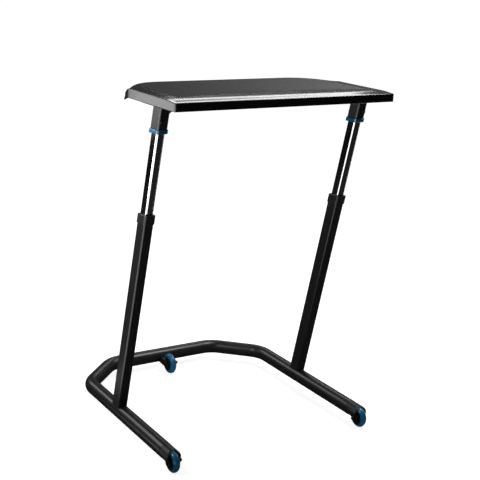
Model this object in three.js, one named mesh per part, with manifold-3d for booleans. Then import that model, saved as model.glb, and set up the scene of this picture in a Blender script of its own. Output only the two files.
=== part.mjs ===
// A height-adjustable desk that rolls over a bicycle on a trainer.
//
// Units are millimetres and +Z is up. +X is to the rider's right and the rider sits on the -Y side.
// The origin is on the floor, in the middle of the footprint.
//
// The base is one tube bent to a U that is open towards the rider, on three wheels. Two legs lean
// forward from it. Each leg is an outer tube with a polished inner tube inside, and the top rides on
// the inner tubes. A blue collar under the top lifts a rod that frees a wedge at the foot of each
// inner tube.

import * as THREE from 'three';
import { mergeVertices } from 'three/addons/utils/BufferGeometryUtils.js';
import Module from 'manifold-3d';

const wasm = await Module();
wasm.setup();

// Clearances and cuts

const fit = 0.3; // gap between pieces that touch
const slideFit = 0.4; // gap each side of a piece that slides
const overrun = 2; // how far a cutter runs past the face it cuts
const weld = 0.0001; // points closer than this are one point

// Overall dimensions

const topWidth = 807;
const topDepth = 457;
const topFrontY = -404;
const footDepth = 850; // from the front of the front wheels to the back of the rear bar
const edgeTopHeight = 1176.8; // top of the front edge above the floor

// Base tube

const legInset = 31.2; // from the side of the top to the centre line of each leg
const legOutset = 1.3; // from the centre line of a foot bar out to that of its leg
const baseTubeDiameter = 52;
const baseTubeWall = 2;
const groundClearance = 26; // under the base tube
const cornerCutX = 152; // how far the rear corners are cut across, along X
const cornerCutY = 145; // and along Y
const baseBendRadius = 95;
const baseBendSteps = 5;
const baseTubeSides = 20;

const baseTubeRadius = baseTubeDiameter / 2;
const baseCentreZ = groundClearance + baseTubeRadius;
const legX = topWidth / 2 - legInset;
const footX = legX - legOutset;
const rearBarY = footDepth / 2 - baseTubeRadius;

// Wheels

const frontWheelDiameter = 72;
const rearWheelDiameter = 78;
const wheelWidth = 24.5;
const treadWidth = 22; // of the blue tread, between the shoulders of the hub
const wheelHubDiameter = 48; // in the groove under the tread
const hubFlangeHeight = 2; // from there to the edge of the flanges beside the tread
const wheelCrown = 7.5; // how far the tread falls from its middle to its sides
const wheelSides = 28;
const hubRimWall = 4;
const hubDish = 5; // how far the hub's web lies inside the wheel's side
const treadSteps = 6;
const hubBossDiameter = 22;
const axleDiameter = 8;
const wheelSideGap = 1.5;

const frontWheelRadius = frontWheelDiameter / 2;
const rearWheelRadius = rearWheelDiameter / 2;
const frontWheelY = -footDepth / 2 + frontWheelRadius;
const forkSlotWidth = wheelWidth + 2 * wheelSideGap;

// Front forks, let into the ends of the base tube

const forkDiameter = 51;
const forkPlugLength = 40; // inside the base tube
const forkReach = 8; // from the axle to the front of the fork
const forkTopRadius = 20; // at the upper front corner
const forkSeatOffset = 19; // from the middle of the fork to the seats of the axle's head and nut
const forkSeatDiameter = 18;
const forkBossDiameter = 30; // round the axle, on each cheek
const wheelRunGap = 2; // between the wheel and what lies behind and over it
const slotWeb = 8; // from the wheel slot to the end of the base tube
const slotShoulder = 11; // height of the round part of the slot

// Rear wheel bracket

const rearWheelGap = 3.4; // between the rear wheel and the rear bar
const bracketPlate = 5; // thickness of each cheek
const bracketCheekRadius = 15; // round the axle
const bracketTopDrop = 22; // from the top of the rear bar to the top of the bracket
const bracketNoseDrop = 4; // from there to the top of its nose
const bracketBottomRise = 4; // from the bottom of the rear bar to the foot of the bracket

const rearWheelY = rearBarY - baseTubeRadius - rearWheelGap - rearWheelRadius;

// Fasteners

const axleHeadDiameter = 13;
const axleHeadHeight = 3.5;
const axleNutAcross = 15; // across the corners
const axleNutHeight = 7;
const capDomeHeight = 7;
const boltDiameter = 6;
const boltHeadDiameter = 12;
const boltHeadHeight = 4;
const nutAcross = 12;
const nutHeight = 4.5;
const socketShare = 0.75; // width of the socket in a bolt's head, of the shank
const socketDepthShare = 0.5; // depth of the socket, of the head's height
const headEdgeShare = 0.25; // chamfer of a bolt's head, of its height
const screwDiameter = 5;
const screwHeadDiameter = 10;
const screwHeadHeight = 2.5;
const roundSides = 12; // facets on small round pieces
const hexSides = 6;

// Legs

const legFootY = -0.6; // where the leg's centre line meets the top of the foot bar
const legLeanDegrees = 13.94; // forward, towards the rider
const outerTubeX = 35;
const outerTubeY = 50;
const outerTubeWall = 1.5;
const outerTubeCorner = 6;
const innerTubeX = 30;
const innerTubeY = 40;
const innerTubeWall = 1.8;
const innerTubeCorner = 8;
const cornerSteps = 3; // facets in each rounded corner of a tube
const legBoltHeight = 47; // along the leg, above the foot bar
const legBoltOffset = 6; // to the right of the leg's middle
const socketHeight = 80;
const socketWall = 3;

// Leg collar, on top of the outer tube

const legCollarTop = 738; // along the leg
const legCollarHeight = 31.3;
const legCollarWall = 2.4;
const legCollarLip = 5; // thickness of the lip that closes on the inner tube
const collarBlockReach = 4; // how far the block on the right stands out
const collarBlockDrop = 4; // from the top of the collar to the top of the block
const collarBlockY = 34;
const collarBlockHeight = 27;
const collarBlockChamfer = 3;
const collarScrewInset = 0.5; // from the block's face to the end of the screw

// Inner tube and its index slots

const innerTubeLength = 696;
const innerTubeInset = 11.8; // from the top of the sleeve to the top of the inner tube
const indexPitch = 20;
const indexCount = 12;
const indexSlotX = 3;
const indexSlotZ = 8;
const indexInset = 6.5; // from the right-hand side of the inner tube to the slots
const indexStart = 22; // from the leg collar to the first slot

// Guide shoe in the foot of the inner tube, with a tapered seat that spreads it

const shoePlugHeight = 18; // inside the inner tube
const shoeBodyHeight = 28; // below it
const shoeSlit = 2;
const seatTopDiameter = 16;
const seatFootDiameter = 11;
const seatHeight = 24;

// Pull rod inside the inner tube, its cone, its spring and the spring's seat

const rodDiameter = 8;
const rodHeadRoom = 9; // above the pin
const springLength = 70;
const springCoilDiameter = 13.4;
const springWireDiameter = 1.6;
const springTurns = 9;
const springStepsPerTurn = 8;
const springWireSides = 5;
const springSeatHeight = 8;

// Release collar and its pin

const releaseTravel = 4;
const releaseFlange = 6; // thickness of the collar's floor
const releaseOverlap = 3.7; // how far the collar covers the foot of the sleeve
const releaseWall = 3;
const releaseRound = 2.2;
const releasePinDiameter = 3;
const releasePinInset = 1; // from the collar's face to the end of the pin

// Upper sleeve

const sleeveX = 35;
const sleeveY = 50;
const sleeveLength = 74.5;
const sleeveCorner = 6;
const sleeveBoltRise = 34.7; // from the foot of the sleeve to its bolt
const sleeveBoltOffset = 7; // outboard of the leg's middle
const gussetReach = 9;
const gussetDrop = 4;
const gussetThickness = 4;
const gussetSetback = 4; // from the front of the sleeve

// Desk top

const frontEdgeThickness = 26.8;
const sideEdgeRise = 3.3; // the edge climbs by this behind the front corners
const edgeClimbLength = 58;
const surfaceRise = 5.3; // from the front edge up to the flat of the top
const frontCornerRadius = 5;
const rearCornerRadius = 156;
const frontBevelDepth = 58;
const sideBevelDepth = 43;
const rearLipDepth = 42.5;
const rearLipDrop = 27;
const undersideLipDrop = 13.5;
const lipStartDegrees = 21.5; // of the rear corner, over which the lip begins
const edgeRound = 2; // along the upper and lower edges
const frontCornerSteps = 4;
const rearCornerSteps = 14;
const sideSteps = 8;
const bevelSteps = 4;

// Surface mat

const matThickness = 3;
const matProud = 0.6;
const matSideInset = 50.5;
const matRearInset = 45;
const matFrontInsetEnds = 80;
const matFrontInsetMiddle = 116;
const matFrontSteps = 12;

// Plates, beam and screws under the top

const plateThickness = 4;
const plateX = 78;
const plateY = 190;
const plateCorner = 8;
const plateInset = 12; // from the side of the top to the plate
const plateForward = 84; // from the leg to the front of the plate
const beamY = 30;
const beamZ = 16;
const beamWall = 1.5;
const beamCorner = 3;
const plateScrewInset = 14;
const plateScrewDepth = 13; // into the top

// Materials

const finish = (color, roughness, metalness) => ({ color, roughness, metalness });
const blackSteel = finish(0x1d1d1f, 0.42, 0.5);
const blackPlastic = finish(0x18181a, 0.55, 0);
const chrome = finish(0xd8dadc, 0.08, 1);
const zinc = finish(0x8d9196, 0.35, 0.9);
const boltBlack = finish(0x1f1f21, 0.38, 0.8);
const bluePlastic = finish(0x12719f, 0.4, 0);
const blueTread = finish(0x14709c, 0.5, 0);
const boardBlack = finish(0x232426, 0.35, 0);
const matGrey = finish(0x3a3b3d, 0.85, 0);
const rawSteel = finish(0x6f7276, 0.4, 0.9);

const group = new THREE.Group();

// Adds one named piece to the desk.
function piece(name, geometry, look, parent = group) {
  const mesh = new THREE.Mesh(geometry, new THREE.MeshStandardMaterial(look));
  mesh.name = name;
  parent.add(mesh);
  return mesh;
}

// Solids, cuts and joins

// Turns a closed geometry into a solid.
function solid(geometry) {
  const bare = geometry.clone();
  bare.deleteAttribute('normal');
  bare.deleteAttribute('uv');
  const merged = mergeVertices(bare, weld);
  return new wasm.Manifold(new wasm.Mesh({
    numProp: 3,
    vertProperties: new Float32Array(merged.getAttribute('position').array),
    triVerts: new Uint32Array(merged.index.array),
  }));
}

// Turns a solid back into a geometry.
function geometryOf(body) {
  const mesh = body.getMesh();
  const geometry = new THREE.BufferGeometry();
  geometry.setAttribute('position', new THREE.BufferAttribute(new Float32Array(mesh.vertProperties), 3));
  geometry.setIndex(new THREE.BufferAttribute(new Uint32Array(mesh.triVerts), 1));
  geometry.computeVertexNormals();
  return geometry;
}

function cut(geometry, ...tools) {
  let body = solid(geometry);
  for (const tool of tools) body = body.subtract(solid(tool));
  return geometryOf(body);
}

function join(geometry, ...others) {
  let body = solid(geometry);
  for (const other of others) body = body.add(solid(other));
  return geometryOf(body);
}

function keep(geometry, region) {
  return geometryOf(solid(geometry).intersect(solid(region)));
}

// Basic shapes

function box(sizeX, sizeY, sizeZ, x = 0, y = 0, z = 0) {
  return new THREE.BoxGeometry(sizeX, sizeY, sizeZ).translate(x, y, z);
}

// A rounded rectangle round the origin.
function roundedRect(sizeX, sizeY, radius, steps = cornerSteps) {
  const points = [];
  const centres = [[1, 1], [-1, 1], [-1, -1], [1, -1]];
  centres.forEach(([signX, signY], corner) => {
    for (let i = 0; i <= steps; i += 1) {
      const angle = (corner + i / steps) * Math.PI / 2;
      points.push(new THREE.Vector2(
        signX * (sizeX / 2 - radius) + radius * Math.cos(angle),
        signY * (sizeY / 2 - radius) + radius * Math.sin(angle),
      ));
    }
  });
  return new THREE.Shape(points);
}

// An outline in X and Y raised from z = low to z = high.
function prism(shape, low, high) {
  const geometry = new THREE.ExtrudeGeometry(shape, { depth: high - low, bevelEnabled: false, steps: 1 });
  return geometry.translate(0, 0, low);
}

// An outline drawn in Y and Z, spread along X between two places.
function sidePrism(shape, lowX, highX) {
  const turn = new THREE.Matrix4().makeBasis(
    new THREE.Vector3(0, 1, 0), new THREE.Vector3(0, 0, 1), new THREE.Vector3(1, 0, 0),
  );
  const geometry = new THREE.ExtrudeGeometry(shape, { depth: highX - lowX, bevelEnabled: false, steps: 1 });
  return geometry.applyMatrix4(turn).translate(lowX, 0, 0);
}

// A round rod along Z from low to high.
function rod(diameter, low, high, sides = roundSides) {
  const geometry = new THREE.CylinderGeometry(diameter / 2, diameter / 2, high - low, sides);
  return geometry.rotateX(Math.PI / 2).translate(0, 0, (low + high) / 2);
}

// A body turned round the Z axis from [radius, height] pairs that start and end on the axis.
function turned(profile, sides = roundSides) {
  const points = profile.map(([radius, height]) => new THREE.Vector2(radius, height));
  return new THREE.LatheGeometry(points, sides).rotateX(Math.PI / 2);
}

// A ring turned round the Z axis from the [radius, height] corners of its section.
function ring(corners, sides = roundSides) {
  const points = [...corners, corners[0]].map(([radius, height]) => new THREE.Vector2(radius, height));
  return new THREE.LatheGeometry(points, sides).rotateX(Math.PI / 2);
}

const alongX = (geometry) => geometry.rotateY(Math.PI / 2);
const alongMinusX = (geometry) => geometry.rotateY(-Math.PI / 2);
const alongY = (geometry) => geometry.rotateX(-Math.PI / 2);
const alongMinusY = (geometry) => geometry.rotateX(Math.PI / 2);

// Joins a row of matching rings of points into one closed body.
function loft(rings) {
  const count = rings[0].length;
  const positions = rings.flat().flatMap((point) => [point.x, point.y, point.z]);
  const index = [];
  for (let ring = 0; ring + 1 < rings.length; ring += 1) {
    for (let i = 0; i < count; i += 1) {
      const a = ring * count + i;
      const b = ring * count + (i + 1) % count;
      index.push(a, b, a + count, b, b + count, a + count);
    }
  }
  const cap = (start, turnOver) => {
    const outline = rings[start / count].map((point) => flatten(point, rings[start / count]));
    const faces = THREE.ShapeUtils.triangulateShape(outline, []);
    for (const [a, b, c] of faces) {
      if (turnOver) index.push(start + a, start + c, start + b);
      else index.push(start + a, start + b, start + c);
    }
  };
  cap(0, true);
  cap((rings.length - 1) * count, false);
  const geometry = new THREE.BufferGeometry();
  geometry.setAttribute('position', new THREE.BufferAttribute(new Float32Array(positions), 3));
  geometry.setIndex(index);
  geometry.computeVertexNormals();
  return geometry;
}

// Gives a point of a ring as two coordinates in the ring's own plane, anticlockwise.
function flatten(point, ring) {
  const middle = ring.reduce((sum, each) => sum.add(each), new THREE.Vector3()).divideScalar(ring.length);
  const first = ring[0].clone().sub(middle).normalize();
  const normal = new THREE.Vector3();
  ring.forEach((each, i) => {
    const next = ring[(i + 1) % ring.length].clone().sub(middle);
    normal.add(each.clone().sub(middle).cross(next));
  });
  const second = normal.normalize().clone().cross(first);
  const arm = point.clone().sub(middle);
  return new THREE.Vector2(arm.dot(first), arm.dot(second));
}

// Replaces the corners of a row of points by arcs. Each entry is a point and its corner's radius.
function rounded(entries, steps, closed = false) {
  const count = entries.length;
  return entries.flatMap(([corner, radius], i) => {
    if (radius === 0 || (!closed && (i === 0 || i === count - 1))) return [corner.clone()];
    const before = entries[(i + count - 1) % count][0].clone().sub(corner).normalize();
    const after = entries[(i + 1) % count][0].clone().sub(corner).normalize();
    const half = before.angleTo(after) / 2;
    const middle = before.clone().add(after).normalize();
    const centre = corner.clone().addScaledVector(middle, radius / Math.sin(half));
    const start = corner.clone().addScaledVector(before, radius / Math.tan(half)).sub(centre);
    const end = corner.clone().addScaledVector(after, radius / Math.tan(half)).sub(centre);
    const sweep = Math.PI - 2 * half;
    return Array.from({ length: steps + 1 }, (_, step) => {
      const from = Math.sin((1 - step / steps) * sweep) / Math.sin(sweep);
      const to = Math.sin(step / steps * sweep) / Math.sin(sweep);
      return centre.clone().addScaledVector(start, from).addScaledVector(end, to);
    });
  });
}

// A closed outline from [a, b, corner radius] triples.
function roundedShape(triples, steps = cornerSteps) {
  const entries = triples.map(([a, b, radius]) => [new THREE.Vector2(a, b), radius]);
  return new THREE.Shape(rounded(entries, steps, true));
}

// Fasteners, drawn along +Z with the seat of the head or nut at z = 0

// A bolt whose head lies below z = 0 and whose shank runs up to length.
function bolt(diameter, headDiameter, headHeight, length) {
  const edge = headHeight * headEdgeShare;
  const body = turned([
    [0, -headHeight],
    [headDiameter / 2 - edge, -headHeight],
    [headDiameter / 2, edge - headHeight],
    [headDiameter / 2, 0],
    [diameter / 2, 0],
    [diameter / 2, length],
    [0, length],
  ]);
  const socketFloor = headHeight * (socketDepthShare - 1);
  return cut(body, rod(diameter * socketShare, -headHeight - overrun, socketFloor, hexSides));
}

function nut(across, height, diameter) {
  return cut(rod(across, 0, height, hexSides), rod(diameter + 2 * fit, -overrun, height + overrun));
}

// A nut with a closed dome.
function capNut(across, height, dome, diameter) {
  const flat = across * Math.cos(Math.PI / hexSides) / 2;
  const slant = Math.PI / 6;
  const crown = turned([
    [0, height - overrun],
    [flat, height - overrun],
    [flat, height],
    [flat * Math.cos(slant), height + dome * Math.sin(slant)],
    [flat * Math.sin(slant), height + dome * Math.cos(slant)],
    [0, height + dome],
  ]);
  const bore = rod(diameter + 2 * fit, -overrun, height + dome * Math.sin(slant));
  return cut(join(rod(across, 0, height, hexSides), crown), bore);
}

// Base tube

const forkBack = frontWheelRadius + wheelRunGap + slotWeb; // from the front axle to the end of the tube
const footEndY = frontWheelY + forkBack;

// The centre line, from the left foot round the back to the right foot.
function baseRoute() {
  const right = [
    [footX - cornerCutX, rearBarY, baseBendRadius],
    [footX, rearBarY - cornerCutY, baseBendRadius],
    [footX, footEndY, 0],
  ];
  const left = right.map(([x, y, radius]) => [-x, y, radius]).reverse();
  const corners = [...left, ...right].map(([x, y, radius]) => [new THREE.Vector3(x, y, baseCentreZ), radius]);
  return rounded(corners, baseBendSteps);
}

// Round rings square to a level route. The end rings can be pushed out by endRun.
function roundRings(route, radius, sides, endRun = 0) {
  return route.map((point, i) => {
    const next = route[Math.min(i + 1, route.length - 1)];
    const last = route[Math.max(i - 1, 0)];
    const ahead = next.clone().sub(point).normalize();
    const behind = point.clone().sub(last).normalize();
    const direction = ahead.add(behind).normalize();
    const outwards = (i === route.length - 1 ? 1 : 0) - (i === 0 ? 1 : 0);
    const centre = point.clone().addScaledVector(direction, outwards * endRun);
    const across = new THREE.Vector3(0, 0, 1).cross(direction);
    return Array.from({ length: sides }, (_, side) => {
      const angle = 2 * Math.PI * side / sides;
      const arm = across.clone().multiplyScalar(Math.cos(angle) * radius);
      arm.z = Math.sin(angle) * radius;
      return arm.add(centre);
    });
  });
}

function baseTube() {
  const outside = loft(roundRings(baseRoute(), baseTubeRadius, baseTubeSides));
  const inside = loft(roundRings(baseRoute(), baseTubeRadius - baseTubeWall, baseTubeSides, overrun));
  return cut(outside, inside);
}

piece('base_tube', baseTube(), blackSteel);

// Wheels and axles

// The outside radius of a wheel at a distance from its middle plane.
const crownAt = (radius, offset) => radius - wheelCrown * (2 * offset / wheelWidth) ** 2;

function wheelTyre(radius) {
  const inner = wheelHubDiameter / 2 + fit;
  const half = treadWidth / 2;
  const tread = Array.from({ length: treadSteps + 1 }, (_, i) => {
    const offset = half * (2 * i / treadSteps - 1);
    return [crownAt(radius, offset), offset];
  });
  return ring([[inner, -half], ...tread, [inner, half]], wheelSides);
}

function wheelHub() {
  const bore = axleDiameter / 2 + slideFit;
  const rim = wheelHubDiameter / 2;
  const boss = hubBossDiameter / 2;
  const side = wheelWidth / 2;
  const shoulder = treadWidth / 2 + fit;
  const web = wheelWidth / 2 - hubDish;
  const bossFace = wheelWidth / 2 + wheelSideGap - slideFit;
  const rimInside = rim - hubRimWall;
  const halfProfile = [
    [bore, bossFace],
    [boss, bossFace],
    [boss, web],
    [rimInside, web],
    [rimInside, side],
    [rim + hubFlangeHeight, side],
    [rim + hubFlangeHeight, shoulder],
    [rim, shoulder],
  ];
  const otherHalf = halfProfile.map(([out, height]) => [out, -height]);
  return ring([...otherHalf, ...halfProfile.reverse()], wheelSides);
}

function wheel(place, x, y, radius) {
  piece(`wheel_tyre_${place}`, alongX(wheelTyre(radius)), blueTread).position.set(x, y, radius);
  piece(`wheel_hub_${place}`, alongX(wheelHub()), blackPlastic).position.set(x, y, radius);
}

// The bolt's head is on the side that outward points to, and the cap nut on the other.
function axle(place, x, y, height, outward, halfWidth) {
  const seat = halfWidth + fit;
  const turn = outward < 0 ? alongX : alongMinusX;
  const head = bolt(axleDiameter, axleHeadDiameter, axleHeadHeight, 2 * seat + axleNutHeight);
  const cap = capNut(axleNutAcross, axleNutHeight, capDomeHeight, axleDiameter);
  piece(`axle_bolt_${place}`, turn(head), boltBlack).position.set(x + outward * seat, y, height);
  piece(`axle_nut_${place}`, turn(cap), boltBlack).position.set(x - outward * seat, y, height);
}

const axleHole = (reach, height) => (
  alongX(rod(axleDiameter + 2 * fit, -reach, reach)).translate(0, 0, height)
);

// Front forks

// The slot for the wheel, open below and in front, with a round roof.
function wheelSlot() {
  const half = forkSlotWidth / 2;
  const roof = frontWheelDiameter + wheelRunGap;
  const arch = Array.from({ length: baseTubeSides / 2 + 1 }, (_, i) => {
    const angle = 2 * Math.PI * i / baseTubeSides;
    return new THREE.Vector2(half * Math.cos(angle), roof - slotShoulder * (1 - Math.sin(angle)));
  });
  const feet = [new THREE.Vector2(-half, -overrun), new THREE.Vector2(half, -overrun)];
  return alongMinusY(prism(new THREE.Shape([...arch, ...feet]), slotWeb - forkBack, frontWheelDiameter));
}

function frontFork() {
  const radius = forkDiameter / 2;
  const body = alongY(rod(forkDiameter, -forkReach, forkBack, baseTubeSides)).translate(0, 0, baseCentreZ);
  const profile = roundedShape([
    [forkBack + overrun, baseCentreZ - forkDiameter, 0],
    [forkBack + overrun, baseCentreZ + radius, 0],
    [-forkReach, baseCentreZ + radius, forkTopRadius],
    [-forkReach, baseCentreZ - forkDiameter, 0],
  ]);
  const nose = keep(body, sidePrism(profile, -forkDiameter, forkDiameter));
  const plug = rod(baseTubeDiameter - 2 * baseTubeWall - 2 * fit, -overrun, forkPlugLength, baseTubeSides);
  const seats = [alongX, alongMinusX].map((turn) => (
    turn(rod(forkSeatDiameter, forkSeatOffset, forkDiameter)).translate(0, 0, frontWheelRadius)
  ));
  const boss = alongX(rod(forkBossDiameter, -forkSeatOffset, forkSeatOffset));
  const axleBoss = boss.translate(0, 0, frontWheelRadius);
  const whole = join(nose, alongY(plug).translate(0, forkBack, baseCentreZ), axleBoss);
  return cut(whole, wheelSlot(), ...seats, axleHole(forkDiameter, frontWheelRadius));
}

for (const [side, label] of [[-1, 'left'], [1, 'right']]) {
  const x = side * footX;
  piece(`front_fork_${label}`, frontFork(), blackPlastic).position.set(x, frontWheelY, 0);
  wheel(`front_${label}`, x, frontWheelY, frontWheelRadius);
  axle(`front_${label}`, x, frontWheelY, frontWheelRadius, side, forkSeatOffset);
}

// Rear wheel bracket, welded to the front of the rear bar

function rearBracket() {
  const half = forkSlotWidth / 2 + bracketPlate;
  const heel = rearBarY - rearWheelY;
  const top = baseCentreZ + baseTubeRadius - bracketTopDrop;
  const foot = baseCentreZ - baseTubeRadius + bracketBottomRise;
  const nose = bracketCheekRadius;
  const side = sidePrism(roundedShape([
    [heel, top, 0],
    [-nose / 2, top - bracketNoseDrop, nose],
    [-nose, rearWheelRadius - nose, nose / 2],
    [0, rearWheelRadius - nose, nose / 2],
    [heel, foot, 0],
  ]), -half, half);
  const web = rearWheelRadius + wheelRunGap;
  const slotY = web + rearWheelDiameter;
  const slot = box(forkSlotWidth, slotY, baseTubeDiameter * 2, 0, web - slotY / 2, baseCentreZ);
  const bar = alongX(rod(baseTubeDiameter + 2 * fit, -half - overrun, half + overrun, baseTubeSides));
  return cut(side, slot, bar.translate(0, heel, baseCentreZ), axleHole(forkDiameter, rearWheelRadius));
}

piece('rear_bracket', rearBracket(), blackSteel).position.set(0, rearWheelY, 0);
wheel('rear', 0, rearWheelY, rearWheelRadius);
axle('rear', 0, rearWheelY, rearWheelRadius, -1, forkSlotWidth / 2 + bracketPlate);

// Legs

const legLean = THREE.MathUtils.degToRad(legLeanDegrees);
const legFootZ = baseCentreZ + baseTubeRadius;
const plateBottomZ = edgeTopHeight - frontEdgeThickness - fit - plateThickness;
const sleeveTop = (plateBottomZ - fit - legFootZ) / Math.cos(legLean);
const sleeveFoot = sleeveTop - sleeveLength;
const releaseFoot = sleeveFoot - releaseTravel - fit - releaseFlange;
const innerTubeTop = sleeveTop - innerTubeInset;
const innerTubeFoot = innerTubeTop - innerTubeLength;

// A group whose Z axis runs up the leg from the top of the foot bar.
function legFrame(side) {
  const frame = new THREE.Group();
  frame.position.set(side * legX, legFootY, legFootZ);
  frame.rotation.x = legLean;
  frame.updateMatrix();
  group.add(frame);
  return frame;
}

// Takes a shape that is placed over the floor into a leg's own frame.
const intoLeg = (geometry, frame) => geometry.applyMatrix4(frame.matrix.clone().invert());

// Slides a shape drawn square to a leg so that its level faces are level over the floor.
const levelled = (geometry) => geometry.applyMatrix4(new THREE.Matrix4().set(
  1, 0, 0, 0,
  0, 1, 0, 0,
  0, -Math.tan(legLean), 1, 0,
  0, 0, 0, 1,
));

// A straight tube of rounded rectangular section, with its wall inside its outer size.
function rectTube(sizeX, sizeY, corner, wall, low, high) {
  const outer = roundedRect(sizeX, sizeY, corner);
  const inner = roundedRect(sizeX - 2 * wall, sizeY - 2 * wall, Math.max(corner - wall, wall / 2));
  return cut(prism(outer, low, high), prism(inner, low - overrun, high + overrun));
}

// The foot bar under a leg, grown by a clearance, in the leg's frame.
function footBarCutter(side, frame) {
  const reach = outerTubeY * 2;
  const bar = alongY(rod(baseTubeDiameter + 2 * fit, -reach, reach, baseTubeSides * 2));
  return intoLeg(bar.translate(side * footX, legFootY, baseCentreZ), frame);
}

// A hole from the front of a leg to the back.
const crossHole = (diameter, height, x = 0) => (
  alongY(rod(diameter + 2 * fit, -outerTubeY, outerTubeY)).translate(x, 0, height)
);

const legBoltHole = () => crossHole(boltDiameter, legBoltHeight, legBoltOffset);

function outerTube(side, frame) {
  const top = legCollarTop - legCollarLip - fit;
  const tube = rectTube(outerTubeX, outerTubeY, outerTubeCorner, outerTubeWall, -baseTubeRadius, top);
  return cut(levelled(tube), footBarCutter(side, frame), legBoltHole());
}

function legSocket(side, frame) {
  const sizeX = outerTubeX - 2 * outerTubeWall - 2 * fit;
  const sizeY = outerTubeY - 2 * outerTubeWall - 2 * fit;
  const corner = outerTubeCorner - outerTubeWall;
  const stub = rectTube(sizeX, sizeY, corner, socketWall, -baseTubeRadius, socketHeight);
  return cut(stub, footBarCutter(side, frame), legBoltHole());
}

// A cross bolt with its head in front and its nut behind a tube of the given depth.
function crossBolt(name, frame, x, height, depth) {
  const seat = depth / 2 + fit;
  const head = alongY(bolt(boltDiameter, boltHeadDiameter, boltHeadHeight, 2 * seat + nutHeight));
  const back = alongY(nut(nutAcross, nutHeight, boltDiameter));
  piece(name.replace('KIND', 'bolt'), head, boltBlack, frame).position.set(x, -seat, height);
  piece(name.replace('KIND', 'nut'), back, boltBlack, frame).position.set(x, seat, height);
}

const collarSizeX = outerTubeX + 2 * fit + 2 * legCollarWall;
const collarBlockFace = collarSizeX / 2 + collarBlockReach;
const collarScrewHeight = legCollarTop - collarBlockDrop - collarBlockHeight / 2;

function legCollar() {
  const openX = outerTubeX + 2 * fit;
  const openY = outerTubeY + 2 * fit;
  const outline = roundedRect(collarSizeX, openY + 2 * legCollarWall, outerTubeCorner + legCollarWall);
  const blockTop = legCollarTop - collarBlockDrop;
  const block = prism(roundedShape([
    [0, -collarBlockY / 2, 0],
    [collarBlockFace, -collarBlockY / 2, collarBlockChamfer],
    [collarBlockFace, collarBlockY / 2, collarBlockChamfer],
    [0, collarBlockY / 2, 0],
  ]), blockTop - collarBlockHeight, blockTop);
  const foot = legCollarTop - legCollarHeight;
  const shell = join(prism(outline, foot, legCollarTop), block);
  const tubeOutline = roundedRect(openX, openY, outerTubeCorner);
  const tubeRoom = prism(tubeOutline, foot - overrun, legCollarTop - legCollarLip);
  const mouth = prism(innerTubeOutline(slideFit), foot - overrun, legCollarTop + overrun);
  const hole = alongX(rod(screwDiameter + 2 * fit, outerTubeX / 4, collarBlockFace + overrun));
  return cut(levelled(cut(shell, tubeRoom, mouth)), hole.translate(0, 0, collarScrewHeight));
}

const innerTubeOutline = (grow) => (
  roundedRect(innerTubeX + 2 * grow, innerTubeY + 2 * grow, innerTubeCorner + grow)
);

// What fits inside the inner tube.
const innerTubeRoom = () => innerTubeOutline(-innerTubeWall - fit);

// A headless screw through the block, with its socket outwards.
function collarScrew() {
  const tip = outerTubeX / 2 + fit;
  const end = collarBlockFace - collarScrewInset;
  const socketFloor = end - (end - tip) * socketDepthShare;
  const socket = rod(screwDiameter * socketShare, socketFloor, end + overrun, hexSides);
  return alongX(cut(rod(screwDiameter, tip, end), socket));
}

// Inner tubes

function innerTube(side) {
  const tube = rectTube(innerTubeX, innerTubeY, innerTubeCorner, innerTubeWall, innerTubeFoot, innerTubeTop);
  const slots = Array.from({ length: indexCount }, (_, i) => box(
    indexSlotX,
    innerTubeWall * 2 + overrun * 2,
    indexSlotZ,
    innerTubeX / 2 - indexInset,
    -innerTubeY / 2,
    legCollarTop + indexStart + i * indexPitch,
  ));
  const boltHole = crossHole(boltDiameter, sleeveFoot + sleeveBoltRise, side * sleeveBoltOffset);
  return cut(tube, ...slots, boltHole, pinSlot(releasePinDiameter + 2 * slideFit));
}

const pinHeight = releaseFoot + releaseFlange / 2;

// A slot through the front and back of the inner tube, as long as the pin's travel.
const pinSlot = (width) => (
  levelled(box(width, outerTubeY * 2, releaseTravel + width, 0, 0, pinHeight + releaseTravel / 2))
);

function guideShoe() {
  const body = roundedRect(
    outerTubeX - 2 * outerTubeWall - 2 * slideFit,
    outerTubeY - 2 * outerTubeWall - 2 * slideFit,
    outerTubeCorner - outerTubeWall,
  );
  const top = innerTubeFoot - fit;
  const foot = top - shoeBodyHeight;
  const whole = join(prism(body, foot, top), prism(innerTubeRoom(), top - overrun, top + shoePlugHeight));
  const seat = turned(coneProfile(fit, foot - overrun, top + shoePlugHeight + overrun));
  const slit = box(shoeSlit, outerTubeY * 2, shoeBodyHeight, 0, 0, foot + shoeBodyHeight / 2 - overrun);
  return cut(whole, seat, slit);
}

// A stepped cone: straight below the seat, tapered through it and straight above.
function coneProfile(grow, low, high) {
  const top = innerTubeFoot - fit;
  return [
    [0, low],
    [seatFootDiameter / 2 + grow, low],
    [seatFootDiameter / 2 + grow, top - seatHeight],
    [seatTopDiameter / 2 + grow, top],
    [seatTopDiameter / 2 + grow, high],
    [0, high],
  ];
}

const coneTop = innerTubeFoot + fit;

// The rod with the cone turned on its lower end.
function pullRod() {
  const foot = innerTubeFoot - shoeBodyHeight;
  const top = pinHeight + rodHeadRoom;
  const cone = coneProfile(0, foot, coneTop).slice(0, -1);
  const body = turned([...cone, [rodDiameter / 2, coneTop], [rodDiameter / 2, top], [0, top]]);
  return cut(body, levelled(crossHole(releasePinDiameter, pinHeight)));
}

const springFoot = coneTop + fit;

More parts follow.
